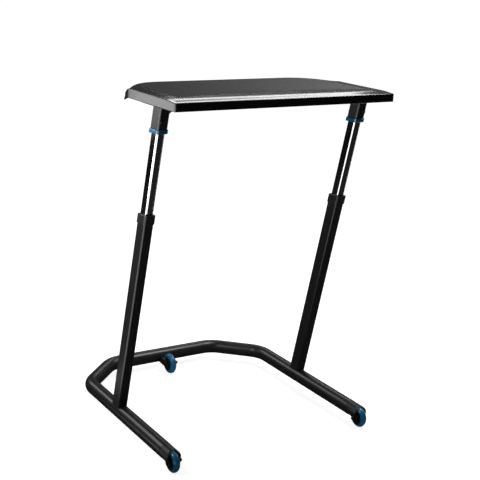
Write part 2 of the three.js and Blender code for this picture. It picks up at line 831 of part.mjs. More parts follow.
function returnSpring() {
  const radius = (springCoilDiameter - springWireDiameter) / 2;
  const steps = springTurns * springStepsPerTurn;
  const climb = springLength - springWireDiameter;
  const rings = Array.from({ length: steps + 1 }, (_, i) => {
    const angle = 2 * Math.PI * i / springStepsPerTurn;
    const out = new THREE.Vector3(Math.cos(angle), Math.sin(angle), 0);
    const centre = out.clone().multiplyScalar(radius);
    centre.z = springFoot + springWireDiameter / 2 + climb * i / steps;
    return Array.from({ length: springWireSides }, (_, side) => {
      const around = -2 * Math.PI * side / springWireSides;
      const arm = out.clone().multiplyScalar(Math.cos(around) * springWireDiameter / 2);
      arm.z = Math.sin(around) * springWireDiameter / 2;
      return arm.add(centre);
    });
  });
  return loft(rings);
}

function springSeat() {
  const foot = springFoot + springLength + fit;
  const block = prism(innerTubeRoom(), foot, foot + springSeatHeight);
  return cut(block, rod(rodDiameter + 2 * slideFit, foot - overrun, foot + springSeatHeight + overrun));
}

// Release collars

function releaseCollar() {
  const openX = sleeveX + 2 * slideFit;
  const openY = sleeveY + 2 * slideFit;
  const high = sleeveFoot + releaseOverlap;
  const sizeX = openX + 2 * releaseWall;
  const sizeY = openY + 2 * releaseWall;
  const corner = sleeveCorner + releaseWall;
  const outline = (inset) => roundedRect(sizeX - 2 * inset, sizeY - 2 * inset, corner - inset).getPoints();
  const row = (inset, z) => outline(inset).map((point) => new THREE.Vector3(point.x, point.y, z));
  const shell = loft([
    row(releaseRound, releaseFoot),
    row(0, releaseFoot + releaseRound),
    row(0, high - releaseRound),
    row(releaseRound, high),
  ]);
  const sleeveOutline = roundedRect(openX, openY, sleeveCorner);
  const sleeveRoom = prism(sleeveOutline, releaseFoot + releaseFlange, high + overrun);
  const mouth = prism(innerTubeOutline(slideFit), releaseFoot - overrun, high);
  return levelled(cut(shell, sleeveRoom, mouth, crossHole(releasePinDiameter, pinHeight)));
}

// The pin lies level, across the lean of the leg.
function collarPin() {
  const half = (sleeveY / 2 + slideFit + releaseWall) / Math.cos(legLean) - releasePinInset;
  return alongY(rod(releasePinDiameter, -half, half)).rotateX(-legLean);
}

// Upper sleeves, each with a gusset

function upperSleeve(side) {
  const tube = prism(roundedRect(sleeveX, sleeveY, sleeveCorner), sleeveFoot, sleeveTop);
  const wall = (sleeveX - innerTubeX) / 2 - fit;
  const edge = side * (wall / 2 - sleeveX / 2);
  const tip = -side * (sleeveX / 2 + gussetReach);
  const gusset = new THREE.Shape([
    new THREE.Vector2(edge, sleeveTop - gussetDrop - gussetReach),
    new THREE.Vector2(tip, sleeveTop - gussetDrop),
    new THREE.Vector2(tip, sleeveTop),
    new THREE.Vector2(edge, sleeveTop),
  ]);
  const front = gussetSetback - sleeveY / 2;
  const fin = alongMinusY(prism(gusset, -front - gussetThickness, -front));
  const bore = prism(innerTubeOutline(fit), sleeveFoot - overrun, sleeveTop + overrun);
  const boltHole = crossHole(boltDiameter, sleeveFoot + sleeveBoltRise, side * sleeveBoltOffset);
  return cut(levelled(cut(join(tube, fin), bore)), boltHole);
}

for (const [side, label] of [[-1, 'left'], [1, 'right']]) {
  const frame = legFrame(side);
  piece(`leg_socket_${label}`, legSocket(side, frame), rawSteel, frame);
  piece(`leg_tube_${label}`, outerTube(side, frame), blackSteel, frame);
  crossBolt(`leg_KIND_${label}`, frame, legBoltOffset, legBoltHeight, outerTubeY);
  piece(`leg_collar_${label}`, legCollar(), blackPlastic, frame);
  piece(`leg_collar_screw_${label}`, collarScrew(), boltBlack, frame).position.z = collarScrewHeight;
  piece(`inner_tube_${label}`, innerTube(side), chrome, frame);
  piece(`guide_shoe_${label}`, guideShoe(), blackPlastic, frame);
  piece(`spring_seat_${label}`, springSeat(), blackPlastic, frame);
  piece(`return_spring_${label}`, returnSpring(), zinc, frame);
  piece(`upper_sleeve_${label}`, upperSleeve(side), blackSteel, frame);
  crossBolt(`sleeve_KIND_${label}`, frame, side * sleeveBoltOffset, sleeveFoot + sleeveBoltRise, sleeveY);
  piece(`release_collar_${label}`, releaseCollar(), bluePlastic, frame);
  piece(`collar_pin_${label}`, collarPin(), zinc, frame).position.z = pinHeight;
  piece(`pull_rod_${label}`, pullRod(), zinc, frame);
}

// Plates and beam under the top

const legTopY = legFootY - (plateBottomZ - legFootZ) * Math.tan(legLean);
const plateMiddleX = topWidth / 2 - plateInset - plateX / 2;
const plateMiddleY = legTopY - plateForward + plateY / 2;

// The three screws of a plate, from its middle: two inboard and one outboard behind the leg.
function screwPlaces(side) {
  const x = plateX / 2 - plateScrewInset;
  const y = plateY / 2 - plateScrewInset;
  return [[-side * x, -y], [-side * x, y], [side * x, y]];
}

function topPlate(side) {
  const holes = screwPlaces(side).map(([x, y]) => (
    rod(screwDiameter + 2 * fit, -overrun, plateThickness + overrun).translate(x, y, 0)
  ));
  return cut(prism(roundedRect(plateX, plateY, plateCorner), 0, plateThickness), ...holes);
}

for (const [side, label] of [[-1, 'left'], [1, 'right']]) {
  const x = side * plateMiddleX;
  piece(`top_plate_${label}`, topPlate(side), blackSteel).position.set(x, plateMiddleY, plateBottomZ);
  screwPlaces(side).forEach(([alongPlate, acrossPlate], i) => {
    const length = plateThickness + plateScrewDepth;
    const screw = bolt(screwDiameter, screwHeadDiameter, screwHeadHeight, length);
    const mesh = piece(`plate_screw_${label}_${i + 1}`, screw, zinc);
    mesh.position.set(x + alongPlate, plateMiddleY + acrossPlate, plateBottomZ - fit);
  });
}

function crossBeam() {
  const reach = legX - sleeveX / 2 - fit;
  const along = (geometry) => alongX(geometry.rotateZ(Math.PI / 2));
  return along(rectTube(beamY, beamZ, beamCorner, beamWall, -reach, reach));
}

const beamMiddleZ = plateBottomZ - fit - beamZ / 2;
const beamMiddleY = legTopY + sleeveY / 2 - beamY / 2;
piece('cross_beam', crossBeam(), blackSteel).position.set(0, beamMiddleY, beamMiddleZ);

// Desk top

const topRearY = topFrontY + topDepth;
const topBottomZ = edgeTopHeight - frontEdgeThickness;
const flatZ = edgeTopHeight + surfaceRise;
const smooth = (share) => {
  const held = Math.min(Math.max(share, 0), 1);
  return held * held * (3 - 2 * held);
};

// The right half of the top's outline, from the middle of the front to the middle of the rear,
// with each side drawn in by its own inset. lip is 1 where the rear lip is at its deepest.
function halfOutline(front, side, rear) {
  const points = [];
  const x = topWidth / 2 - side;
  const corner = Math.max(frontCornerRadius - Math.min(front, side), edgeRound);
  const sideStart = topFrontY + front + corner;
  for (let i = 0; i <= frontCornerSteps; i += 1) {
    const angle = (i / frontCornerSteps - 1) * Math.PI / 2;
    const across = x - corner + corner * Math.cos(angle);
    points.push({ x: across, y: sideStart + corner * Math.sin(angle), lip: 0 });
  }
  const centreX = topWidth / 2 - rearCornerRadius;
  const centreY = topRearY - rearCornerRadius;
  for (let i = 1; i < sideSteps; i += 1) {
    points.push({ x, y: sideStart + (centreY - sideStart) * i / sideSteps, lip: 0 });
  }
  for (let i = 0; i <= rearCornerSteps; i += 1) {
    const angle = i / rearCornerSteps * Math.PI / 2;
    points.push({
      x: centreX + (rearCornerRadius - side) * Math.cos(angle),
      y: centreY + (rearCornerRadius - rear) * Math.sin(angle),
      lip: smooth(THREE.MathUtils.radToDeg(angle) / lipStartDegrees),
    });
  }
  return points;
}

// A closed ring of the top. height gives z for a point of the outline.
function topRing(front, side, rear, height) {
  const right = halfOutline(front, side, rear);
  const left = right.map(({ x, y, lip }) => ({ x: -x, y, lip })).reverse();
  return [...right, ...left].map((point) => new THREE.Vector3(point.x, point.y, height(point)));
}

const edgeZ = (y) => edgeTopHeight + sideEdgeRise * smooth((y - topFrontY) / edgeClimbLength);

// A ring part of the way in from the edge, where share runs from 0 to 1.
const bevelRing = (share, height) => topRing(
  edgeRound + (frontBevelDepth - edgeRound) * share,
  edgeRound + (sideBevelDepth - edgeRound) * share,
  edgeRound + (rearLipDepth - edgeRound) * share,
  height,
);

function deskTop() {
  const under = (share) => bevelRing(share, ({ lip }) => (
    topBottomZ - undersideLipDrop * lip * (1 - share) ** 2
  ));
  const over = (share) => bevelRing(share, ({ y, lip }) => {
    const rise = THREE.MathUtils.lerp(edgeZ(y), flatZ, smooth(share));
    return rise - rearLipDrop * lip * (1 - share) ** 2;
  });
  const shares = Array.from({ length: bevelSteps + 1 }, (_, i) => i / bevelSteps);
  const body = loft([
    ...shares.map((share) => under(1 - share)),
    topRing(0, 0, 0, ({ lip }) => topBottomZ - undersideLipDrop * lip + edgeRound),
    topRing(0, 0, 0, ({ y, lip }) => edgeZ(y) - rearLipDrop * lip - edgeRound),
    ...shares.map((share) => over(share)),
  ]);
  const recess = prism(matOutline(fit), flatZ - matThickness, flatZ + overrun);
  const holes = [-1, 1].flatMap((side) => screwPlaces(side).map(([x, y]) => (
    rod(screwDiameter + 2 * fit, topBottomZ - overrun, topBottomZ + plateScrewDepth + fit)
      .translate(side * plateMiddleX + x, plateMiddleY + y, 0)
  )));
  return cut(body, recess, ...holes);
}

// The mat's outline: a bowed front, straight sides and the rear of the top drawn in.
function matOutline(grow = 0) {
  const side = matSideInset - grow;
  const half = topWidth / 2 - side;
  const rear = halfOutline(matFrontInsetEnds, side, matRearInset - grow).slice(frontCornerSteps + sideSteps);
  const front = Array.from({ length: matFrontSteps + 1 }, (_, i) => {
    const across = 2 * i / matFrontSteps - 1;
    const inset = THREE.MathUtils.lerp(matFrontInsetMiddle, matFrontInsetEnds, across * across);
    return new THREE.Vector2(across * half, topFrontY + inset - grow);
  });
  const right = rear.map(({ x, y }) => new THREE.Vector2(x, y));
  const left = rear.map(({ x, y }) => new THREE.Vector2(-x, y)).reverse();
  return new THREE.Shape([...front, ...right, ...left]);
}

function surfaceMat() {
  const low = flatZ - matThickness + fit;
  return prism(matOutline(), low, flatZ + matProud);
}

piece('desk_top', deskTop(), boardBlack);
piece('surface_mat', surfaceMat(), matGrey);

export default group;
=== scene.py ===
# %% [markdown]
# # A desk that rolls over a bicycle on a trainer
# The desk has a U-shaped tube base on three small wheels, two leaning telescopic legs and a shaped
# top. The measured frame is loaded first. Every piece is then modelled over it, in metres and at
# the same place, so that what moves in the frame moves here too.

# %% Load the measured frame
import math

import bpy
from mathutils import Matrix, Vector


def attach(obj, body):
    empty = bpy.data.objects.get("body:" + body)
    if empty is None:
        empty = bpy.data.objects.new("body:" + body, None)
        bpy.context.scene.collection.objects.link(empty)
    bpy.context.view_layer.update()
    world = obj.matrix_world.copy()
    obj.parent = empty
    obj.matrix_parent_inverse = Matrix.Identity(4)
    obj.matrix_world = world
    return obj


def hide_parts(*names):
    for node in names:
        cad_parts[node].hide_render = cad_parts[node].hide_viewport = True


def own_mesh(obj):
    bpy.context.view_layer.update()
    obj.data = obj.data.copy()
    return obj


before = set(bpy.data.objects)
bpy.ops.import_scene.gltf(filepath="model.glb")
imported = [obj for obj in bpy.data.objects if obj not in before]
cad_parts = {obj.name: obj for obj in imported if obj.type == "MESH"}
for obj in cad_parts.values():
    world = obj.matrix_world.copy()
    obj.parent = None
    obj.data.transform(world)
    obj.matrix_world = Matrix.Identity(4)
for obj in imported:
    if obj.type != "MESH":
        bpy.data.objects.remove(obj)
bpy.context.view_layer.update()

# %% [markdown]
# ## Selecting in code
# Modelling by hand means selecting something and then using a tool on it. In a script the
# selecting is done by place or by direction instead of by a click. These small helpers select one
# piece, or those points, edges or faces of it that pass a test, and everything else is left
# unselected.

# %% Helpers for selecting
def select_only(piece=None):
    """Selects this piece alone, or nothing."""
    bpy.ops.object.select_all(action="DESELECT")
    if piece:
        piece.select_set(True)
        bpy.context.view_layer.objects.active = piece


def pick(piece, kind, test):
    """Opens a piece for editing with the VERT, EDGE or FACE parts selected that pass the test."""
    close_edit(piece)
    mesh = piece.data
    kinds = {
        "VERT": (mesh.vertices, lambda point: [point.co]),
        "EDGE": (mesh.edges, lambda edge: [mesh.vertices[i].co for i in edge.vertices]),
        "FACE": (mesh.polygons, lambda face: [face.center, face.normal]),
    }
    for parts, _ in kinds.values():
        parts.foreach_set("select", [False] * len(parts))
    parts, place_of = kinds[kind]
    for part in parts:
        part.select = bool(test(*place_of(part)))
    bpy.context.tool_settings.mesh_select_mode = [kind == each for each in kinds]
    select_only(piece)
    bpy.ops.object.mode_set(mode="EDIT")


def close_edit(piece):
    """Goes back from editing to whole pieces."""
    if piece.mode == "EDIT":
        bpy.ops.object.mode_set(mode="OBJECT")


print("helpers for selecting are ready")

# %% [markdown]
# ## Blanks to work from
# A maker starts from stock: a block, a round rod, or a flat sheet with rounded corners. The same
# blanks are enough here. Each is added at its size and place, and its place is then applied, so
# that the piece itself stays at the origin. Rods and blocks also serve as drills and saws.

# %% Helpers for blanks
def apply_place():
    bpy.ops.object.transform_apply(location=True, rotation=True, scale=True)


def block(low, high):
    """Adds a block between two corners."""
    select_only()
    middle = [(a + b) / 2 for a, b in zip(low, high)]
    size = [b - a for a, b in zip(low, high)]
    bpy.ops.mesh.primitive_cube_add(size=1, location=middle, scale=size)
    apply_place()
    return bpy.context.object


def rod(radius, start, end, sides=48):
    """Adds a round rod between two points."""
    select_only()
    start, end = Vector(start), Vector(end)
    bpy.ops.mesh.primitive_cylinder_add(
        vertices=sides, radius=radius, depth=(end - start).length, location=(start + end) / 2,
        rotation=(end - start).to_track_quat("Z", "Y").to_euler(),
    )
    apply_place()
    return bpy.context.object


def level_rod(radius, half, y=0.0, z=0.0, sides=48):
    """Adds a round rod along X, as long to the left as to the right."""
    return rod(radius, (-half, y, z), (half, y, z), sides)


def flat_sheet(middle, width, depth):
    """Adds a flat sheet, facing up."""
    select_only()
    bpy.ops.mesh.primitive_plane_add(size=1, location=middle)
    sheet = bpy.context.object
    sheet.scale = (width, depth, 1)
    apply_place()
    return sheet


print("helpers for blanks are ready")

# %% [markdown]
# ## Shaping a blank
# Four moves do most of the shaping: points are shifted, edges or corners are rounded by a bevel, a
# flat sheet is pulled up into a solid, and a bar is made hollow by taking off its ends and giving
# what is left a wall.

# %% Helpers for shaping
def apply_modifier(piece, kind, **settings):
    """Adds a modifier, sets it and applies it."""
    select_only(piece)
    bpy.ops.object.modifier_add(type=kind)
    modifier = piece.modifiers[-1]
    for setting, value in settings.items():
        setattr(modifier, setting, value)
    bpy.ops.object.modifier_apply(modifier=modifier.name)


def shift(piece, test, along):
    """Moves the points that pass a test."""
    pick(piece, "VERT", test)
    bpy.ops.transform.translate(value=along)
    close_edit(piece)


def round_off(piece, kind, test, width, steps):
    """Bevels the points (VERT) or the edges (EDGE) that pass a test."""
    pick(piece, kind, test)
    affect = "VERTICES" if kind == "VERT" else "EDGES"
    bpy.ops.mesh.bevel(offset=width, segments=steps, affect=affect)
    close_edit(piece)


def outline(middle, width, depth, corner, steps=8):
    """Adds a flat sheet with rounded corners."""
    sheet = flat_sheet(middle, width, depth)
    round_off(sheet, "VERT", lambda place: True, corner, steps)
    return sheet


def pull_up(sheet, along):
    """Pulls a flat sheet into a solid, in the given direction."""
    pick(sheet, "FACE", lambda place, facing: True)
    bpy.ops.mesh.extrude_region_move(TRANSFORM_OT_translate={"value": along})
    bpy.ops.mesh.select_all(action="SELECT")
    bpy.ops.mesh.normals_make_consistent(inside=False)
    close_edit(sheet)
    return sheet


def give_wall(skin, thickness):
    """Gives an open skin a wall, inwards."""
    apply_modifier(skin, "SOLIDIFY", thickness=thickness, offset=-1, use_even_offset=True)


def hollow(bar, axis, thickness):
    """Takes the ends off a bar that runs along an axis, and gives what is left a wall."""
    pick(bar, "FACE", lambda place, facing: abs(facing[axis]) > 0.9)
    bpy.ops.mesh.delete(type="ONLY_FACE")
    close_edit(bar)
    give_wall(bar, thickness)


print("helpers for shaping are ready")

# %% [markdown]
# ## Cutting, joining and finishing
# A hole is made by taking a rod away from a piece, which is what the Boolean modifier does. Edges
# of real parts are never sharp, so a narrow bevel goes on last: without it nothing along an edge
# catches the light. Weighted normals then keep flat faces looking flat beside the small bevels.

# %% Helpers for cutting and finishing
past = 0.002  # how far a cutter runs past a face
through = 0.05  # how far a drill reaches from the middle of a part, to go right through it
smooth_angle = math.radians(35)


def combine(piece, tool, operation):
    """Joins a piece with a tool, cuts it, or keeps what they share. The tool is used up."""
    apply_modifier(piece, "BOOLEAN", operation=operation, solver="EXACT", object=tool)
    bpy.data.objects.remove(tool)


def cut(piece, *tools):
    """Takes tools away from a piece, one after another."""
    for tool in tools:
        combine(piece, tool, "DIFFERENCE")
    return piece


def join(piece, *others):
    """Makes one solid of a piece and others."""
    for other in others:
        combine(piece, other, "UNION")


def smooth(piece):
    """Smooths the shading, except where faces meet at a sharp angle."""
    select_only(piece)
    bpy.ops.object.shade_smooth_by_angle(angle=smooth_angle)
    apply_modifier(piece, "WEIGHTED_NORMAL", keep_sharp=True, weight=60)
    return piece


def finish_edges(piece, width, segments=2):
    """Bevels the sharp edges, and smooths the shading of the rest."""
    apply_modifier(
        piece, "BEVEL", width=width, segments=segments, limit_method="ANGLE",
        angle_limit=smooth_angle,
    )
    return smooth(piece)


print("a cutter runs", past * 1000, "mm past a face")

# %% [markdown]
# ## Fitting a piece to the frame
# A finished piece takes the name of the part that it stands for, its look, and the moving body
# that carries it. What is there more than once is modelled once, and each copy gets a mesh of its
# own.

# %% Helpers for fitting
sides = (("left", -1), ("right", 1))


def size_of(piece):
    return " x ".join(f"{value * 1000:.1f}" for value in piece.dimensions) + " mm"


def fit_piece(piece, stands_for, body, finish, name=None):
    """Names a finished piece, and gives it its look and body."""
    look, slot = finish
    piece.name = piece.data.name = name or stands_for + "_made"
    piece.data.materials.clear()
    piece.data.materials.append(look)
    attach(piece, body)
    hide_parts(stands_for)
    print(piece.name, "measures", size_of(piece), "with", len(piece.data.polygons), "faces")


def set_down(piece, matrix):
    """Moves a piece by a matrix, for good."""
    piece.matrix_world = matrix
    select_only(piece)
    apply_place()
    return piece


def copy_to(model, matrix):
    """Copies a model, with a mesh of its own, to another place."""
    select_only(model)
    bpy.ops.object.duplicate(linked=False)
    return set_down(bpy.context.object, matrix)


def fit_copy(model, matrix, stands_for, body, finish):
    """Copies a model to its place, and fits the copy."""
    fit_piece(copy_to(model, matrix), stands_for, body, finish)


def put_away(*models):
    """Deletes models that have been copied."""
    for model in models:
        bpy.data.objects.remove(model)


def facing(direction, place):
    """The matrix that takes a piece drawn along Z to a place, pointing in a direction."""
    turn = Vector(direction).to_track_quat("Z", "Y").to_matrix().to_4x4()
    return Matrix.Translation(place) @ turn


print("helpers for fitting are ready")

# %% [markdown]
# ## Materials from nodes
# Every finish here is drawn by nodes from the place on the piece, with no pictures. Short helpers
# add a node, do sums and mix colours. The numbers that are the same all over are set on the shader
# itself. Most finishes need just two noises: a broad one that changes shade and gloss a little, as
# handling does, and a fine one that raises the surface. One helper makes all of those.

# %% Helpers for materials
colour_a, colour_b, colour_out = 6, 7, 2  # where a Mix node has its colours


def node(tree, kind, sockets=None, **settings):
    """Adds a node. A socket is given a number, a colour or the output of another node."""
    made = tree.nodes.new(kind)
    for setting, value in settings.items():
        setattr(made, setting, value)
    for socket, value in (sockets or {}).items():
        if isinstance(value, bpy.types.NodeSocket):
            tree.links.new(value, made.inputs[socket])
        else:
            made.inputs[socket].default_value = value
    return made


def calculate(tree, operation, *values):
    """Does one sum on numbers or the outputs of nodes."""
    return node(tree, "ShaderNodeMath", dict(enumerate(values)), operation=operation).outputs[0]


def between(tree, value, low, high, start=0.0, end=1.0, kind="LINEAR"):
    """Turns a value that runs from start to end into one that runs from low to high."""
    sockets = {"Value": value, "From Min": start, "From Max": end, "To Min": low, "To Max": high}
    return node(tree, "ShaderNodeMapRange", sockets, interpolation_type=kind).outputs[0]


def object_place(tree):
    return node(tree, "ShaderNodeTexCoord").outputs["Object"]


def noise(tree, size, detail=2.0, stretch=(1, 1, 1), turn=(0, 0, 0)):
    """A noise with spots about one size wide, in metres, longer where stretch is large."""
    turned = node(tree, "ShaderNodeMapping", {"Vector": object_place(tree), "Rotation": turn})
    scale = [1 / each for each in stretch]
    spread = node(tree, "ShaderNodeMapping", {"Vector": turned.outputs[0], "Scale": scale})
    sockets = {"Vector": spread.outputs[0], "Scale": 1 / size, "Detail": detail}
    return node(tree, "ShaderNodeTexNoise", sockets).outputs["Fac"]


def blend_colours(tree, factor, *colours):
    """Mixes two colours, each three numbers or the output of a node, by a factor."""
    first, second = (
        each if isinstance(each, bpy.types.NodeSocket) else (*each, 1) for each in colours
    )
    sockets = {"Factor": factor, colour_a: first, colour_b: second}
    return node(tree, "ShaderNodeMix", sockets, data_type="RGBA").outputs[colour_out]


print("helpers for nodes are ready")

# %% Helpers for finishes
def start_look(name, metallic=0.0, **constant):
    """Starts a material and gives it back with its tree and its shader."""
    look = bpy.data.materials.new(name)
    look.use_nodes = True
    shader = look.node_tree.nodes["Principled BSDF"]
    shader.inputs["Metallic"].default_value = metallic
    for socket, value in constant.items():
        shader.inputs[socket.replace("_", " ")].default_value = value
    return look, look.node_tree, shader


def paint(tree, shader, colour, roughness):
    """Links a colour and a roughness to the shader."""
    tree.links.new(colour, shader.inputs["Base Color"])
    tree.links.new(roughness, shader.inputs["Roughness"])


def bump(tree, shader, height, depth, strength):
    """Raises the surface by a height pattern of the given depth in metres."""
    sockets = {"Height": height, "Distance": depth, "Strength": strength}
    tree.links.new(node(tree, "ShaderNodeBump", sockets).outputs[0], shader.inputs["Normal"])


def plain_finish(name, slot, broad, fine, shades, gloss, relief, **constant):
    """A broad noise changes shade and gloss, and a fine one raises the surface."""
    look, tree, shader = start_look(name, **constant)
    patches = noise(tree, *broad)
    paint(tree, shader, blend_colours(tree, patches, *shades), between(tree, patches, *gloss))
    bump(tree, shader, noise(tree, *fine), *relief)
    return look, slot


print("helpers for finishes are ready")

# %% [markdown]
# ## Satin black powder coat
# The steel is sprayed with powder and baked. Up close such a coat has a soft orange peel: shallow
# dimples about a millimetre wide. A fine noise drives the bump, a broad one changes gloss and
# shade, and a third one adds specks of dust to the gloss.

# %% Powder coat
look, tree, shader = start_look("satin_black_coat")
peel, broad, dust = noise(tree, 0.0011, 1), noise(tree, 0.09, 4), noise(tree, 0.0032, 3)
shade = blend_colours(tree, broad, (0.0105, 0.0105, 0.011), (0.018, 0.018, 0.019))
speck = between(tree, dust, -0.035, 0.045)
paint(tree, shader, shade, calculate(tree, "ADD", between(tree, broad, 0.27, 0.37), speck))
bump(tree, shader, peel, 0.00006, 0.6)
coat = (look, "steel_black")
print("made", look.name)

# %% [markdown]
# ## Moulded black plastic
# The forks, the wheel centres and the collars on the legs are moulded. Their moulds are
# spark-eroded, which leaves a fine even grain, so the plastic is duller than the coated steel
# beside it.

# %% Moulded plastic
plastic = plain_finish(
    "moulded_black_plastic", "plastic_black", broad=(0.03, 5), fine=(0.0006, 2),
    shades=((0.009, 0.009, 0.0098), (0.0155, 0.0155, 0.0165)),
    gloss=(0.36, 0.5), relief=(0.00005, 0.7), IOR=1.46,
)
print("made", plastic[0].name)

# %% [markdown]
# ## Polished chrome
# The sliding tubes are drawn, ground lengthwise and plated. What shows is mostly a reflection,
# broken by very fine lines along the tube, so their noise is stretched along the lean of the leg.
# On the right of the front face, where the row of slots is, a mask made from the place on the tube
# turns the mirror into a paler satin surface. This strip is partly a real dull band and partly a
# painted reflection that stands in for the bright edge the white surroundings put there.

# %% Mark the pale strip
leg_lean = math.radians(13.94)
leg_x, leg_foot = 0.3723, Vector((0, -0.0006, 0.078))
along_leg = (-leg_lean, 0, 0)  # turns a pattern so that its Z runs up the leg
strip_from, strip_to = 0.0065, 0.0085


def satin_strip_with_painted_sheen(tree):
    """Is 1 on the pale strip, a partly painted reflection, at the right of a tube's front face,
    else 0.
    """
    x, y, z = node(tree, "ShaderNodeSeparateXYZ", {"Vector": object_place(tree)}).outputs
    middle = calculate(tree, "MULTIPLY", calculate(tree, "SIGN", x), leg_x)
    right = calculate(tree, "SUBTRACT", x, middle)
    satin_and_sheen = between(tree, right, 0, 1, strip_from, strip_to)
    back = calculate(tree, "MULTIPLY_ADD", z, math.tan(leg_lean), y)
    front = calculate(tree, "LESS_THAN", back, leg_foot.y + leg_foot.z * math.tan(leg_lean))
    return calculate(tree, "MULTIPLY", satin_and_sheen, front)


print("pale strip starts", strip_from * 1000, "mm right of the middle")

# %% Chrome
look, tree, shader = start_look("polished_chrome", metallic=1.0)
lines = noise(tree, 0.0007, 3, (1, 1, 160), along_leg)
clouds = noise(tree, 0.05, 3, turn=(leg_lean, 0, 0))
mirror = blend_colours(tree, clouds, (0.50, 0.51, 0.52), (0.60, 0.61, 0.62))
satin_and_sheen_colour = blend_colours(tree, lines, (0.50, 0.50, 0.50), (0.66, 0.66, 0.67))
# the pale satin strip is partly a painted reflection of the bright surroundings at the right edge
satin_and_sheen = satin_strip_with_painted_sheen(tree)
gloss = calculate(tree, "MULTIPLY_ADD", satin_and_sheen, 0.35, between(tree, lines, 0.05, 0.15))
paint(tree, shader, blend_colours(tree, satin_and_sheen, mirror, satin_and_sheen_colour), gloss)
tree.links.new(between(tree, satin_and_sheen, 1.0, 0.25), shader.inputs["Metallic"])
bump(tree, shader, lines, 0.000005, 0.5)
chrome = (look, "chrome")
print("made", look.name)

# %% [markdown]
# ## Blue tread and glossy blue collar
# The wheels have a poured polyurethane tread, slightly milky, with fine turning lines round it.
# The collars are moulded in a glossy blue that is a little lighter. Both get a thin clear layer on
# top of a duller body, which is how such plastics take a small bright highlight.

# %% Blue plastics
look, tree, shader = start_look("blue_polyurethane", Coat_Weight=0.25, Coat_Roughness=0.08)
rings, milk = noise(tree, 0.0022, stretch=(1, 30, 30)), noise(tree, 0.012, 5)
shade = blend_colours(tree, milk, (0.0015, 0.085, 0.20), (0.004, 0.16, 0.33))
streaks = blend_colours(tree, between(tree, rings, -0.25, 0.5), shade, (0.008, 0.27, 0.48))
paint(tree, shader, streaks, between(tree, rings, 0.26, 0.44))
bump(tree, shader, rings, 0.00012, 0.6)
tread_blue = (look, "tread_blue")
collar_blue = plain_finish(
    "glossy_blue_plastic", "collar_blue", broad=(0.02, 4), fine=(0.0016, 2),
    shades=((0.003, 0.095, 0.20), (0.006, 0.16, 0.31)),
    gloss=(0.14, 0.24), relief=(0.00003, 0.4), Coat_Weight=0.6, Coat_Roughness=0.06,
)
print("made", look.name, "and", collar_blue[0].name)

# %% [markdown]
# ## Black oxide, zinc and bare steel
# Bolts and nuts are blackened in a hot salt bath, which leaves a thin patchy film with an oily
# shine. The hidden rods, pins and springs are zinc plated, and the sockets inside the legs are
# bare steel, with drawing lines along the leg.

# %% Metals
bolt_black = plain_finish(
    "black_oxide", "bolt_black", broad=(0.004, 5), fine=(0.0005, 2),
    shades=((0.022, 0.022, 0.024), (0.05, 0.05, 0.053)),
    gloss=(0.22, 0.4), relief=(0.00002, 0.5), metallic=0.85,
)
zinc = plain_finish(
    "zinc_plate", "zinc", broad=(0.003, 6), fine=(0.003, 6),
    shades=((0.30, 0.31, 0.33), (0.46, 0.48, 0.50)),
    gloss=(0.24, 0.42), relief=(0.00003, 0.4), metallic=0.95,
)
drawn = (0.0009, 4, (1, 1, 90), along_leg)
bare_steel = plain_finish(
    "bare_drawn_steel", "steel_bare", broad=drawn, fine=drawn,
    shades=((0.18, 0.18, 0.185), (0.30, 0.30, 0.31)),
    gloss=(0.32, 0.5), relief=(0.00003, 0.5), metallic=1.0,
)
print("made", [look.name for look, _ in (bolt_black, zinc, bare_steel)])

# %% [markdown]
# ## The top: black laminate and a grip mat
# The board has a smooth satin laminate that takes broad soft reflections. The mat let into it is a
# fine-textured sheet: raised dots under a millimetre apart, which scatter the light and make it
# look grey towards a bright window. A Voronoi pattern gives the dots.

# %% Board and mat
board_black = plain_finish(
    "black_laminate", "board_black", broad=(0.16, 3), fine=(0.0009, 2),
    shades=((0.011, 0.011, 0.0115), (0.0165, 0.0165, 0.0172)),
    gloss=(0.13, 0.2), relief=(0.000012, 0.5), Coat_Weight=0.15, Coat_Roughness=0.18,
)
look, tree, shader = start_look("grey_grip_sheet", Specular_IOR_Level=0.12)
sockets = {"Vector": object_place(tree), "Scale": 520.0, "Randomness": 0.55}
dots = node(tree, "ShaderNodeTexVoronoi", sockets).outputs["Distance"]
broad = noise(tree, 0.02, 6)
shade = blend_colours(tree, broad, (0.007, 0.007, 0.0073), (0.021, 0.021, 0.0215))
worn = blend_colours(tree, between(tree, dots, 0.0, 0.6), (0.028, 0.028, 0.029), shade)
paint(tree, shader, worn, between(tree, broad, 0.62, 0.8))
bump(tree, shader, dots, 0.00022, 0.8)
mat_grey = (look, "mat_grey")
print("made", board_black[0].name, "and", look.name)

# %% [markdown]
# ## The base tube
# The base is one round tube, 52 mm across, bent to a U with cut corners. A tube bender pushes the
# tube straight and then turns it round a die. The same two moves make it here: a circle is
# extruded for each straight length and spun for each bend. One half is enough: a mirror gives the
# other.

# %% Measure the base tube
bar_radius, bar_height, bar_wall = 0.026, 0.052, 0.002
foot_x, foot_end_y, rear_bar_y = 0.371, -0.343, 0.399
corner_across, corner_along, bend_radius = 0.152, 0.145, 0.095

first_turn = math.atan2(corner_across, corner_along)
second_turn = math.pi / 2 - first_turn
first_run = bend_radius * math.tan(first_turn / 2)
second_run = bend_radius * math.tan(second_turn / 2)
slant = Vector((-corner_across, corner_along, 0)).normalized()
slant_length = math.hypot(corner_across, corner_along) - first_run - second_run
bend_start_y = rear_bar_y - corner_along - first_run
print("the bends turn", [round(math.degrees(turn)) for turn in (first_turn, second_turn)])


# %% Bend one half
def bend(angle, centre):
    """Spins the selected end of the tube about an upright line."""
    bpy.ops.mesh.spin(steps=14, angle=-angle, center=centre, axis=(0, 0, 1))


def push(along):
    """Extrudes the selected end of the tube straight on."""
    bpy.ops.mesh.extrude_region_move(TRANSFORM_OT_translate={"value": along})


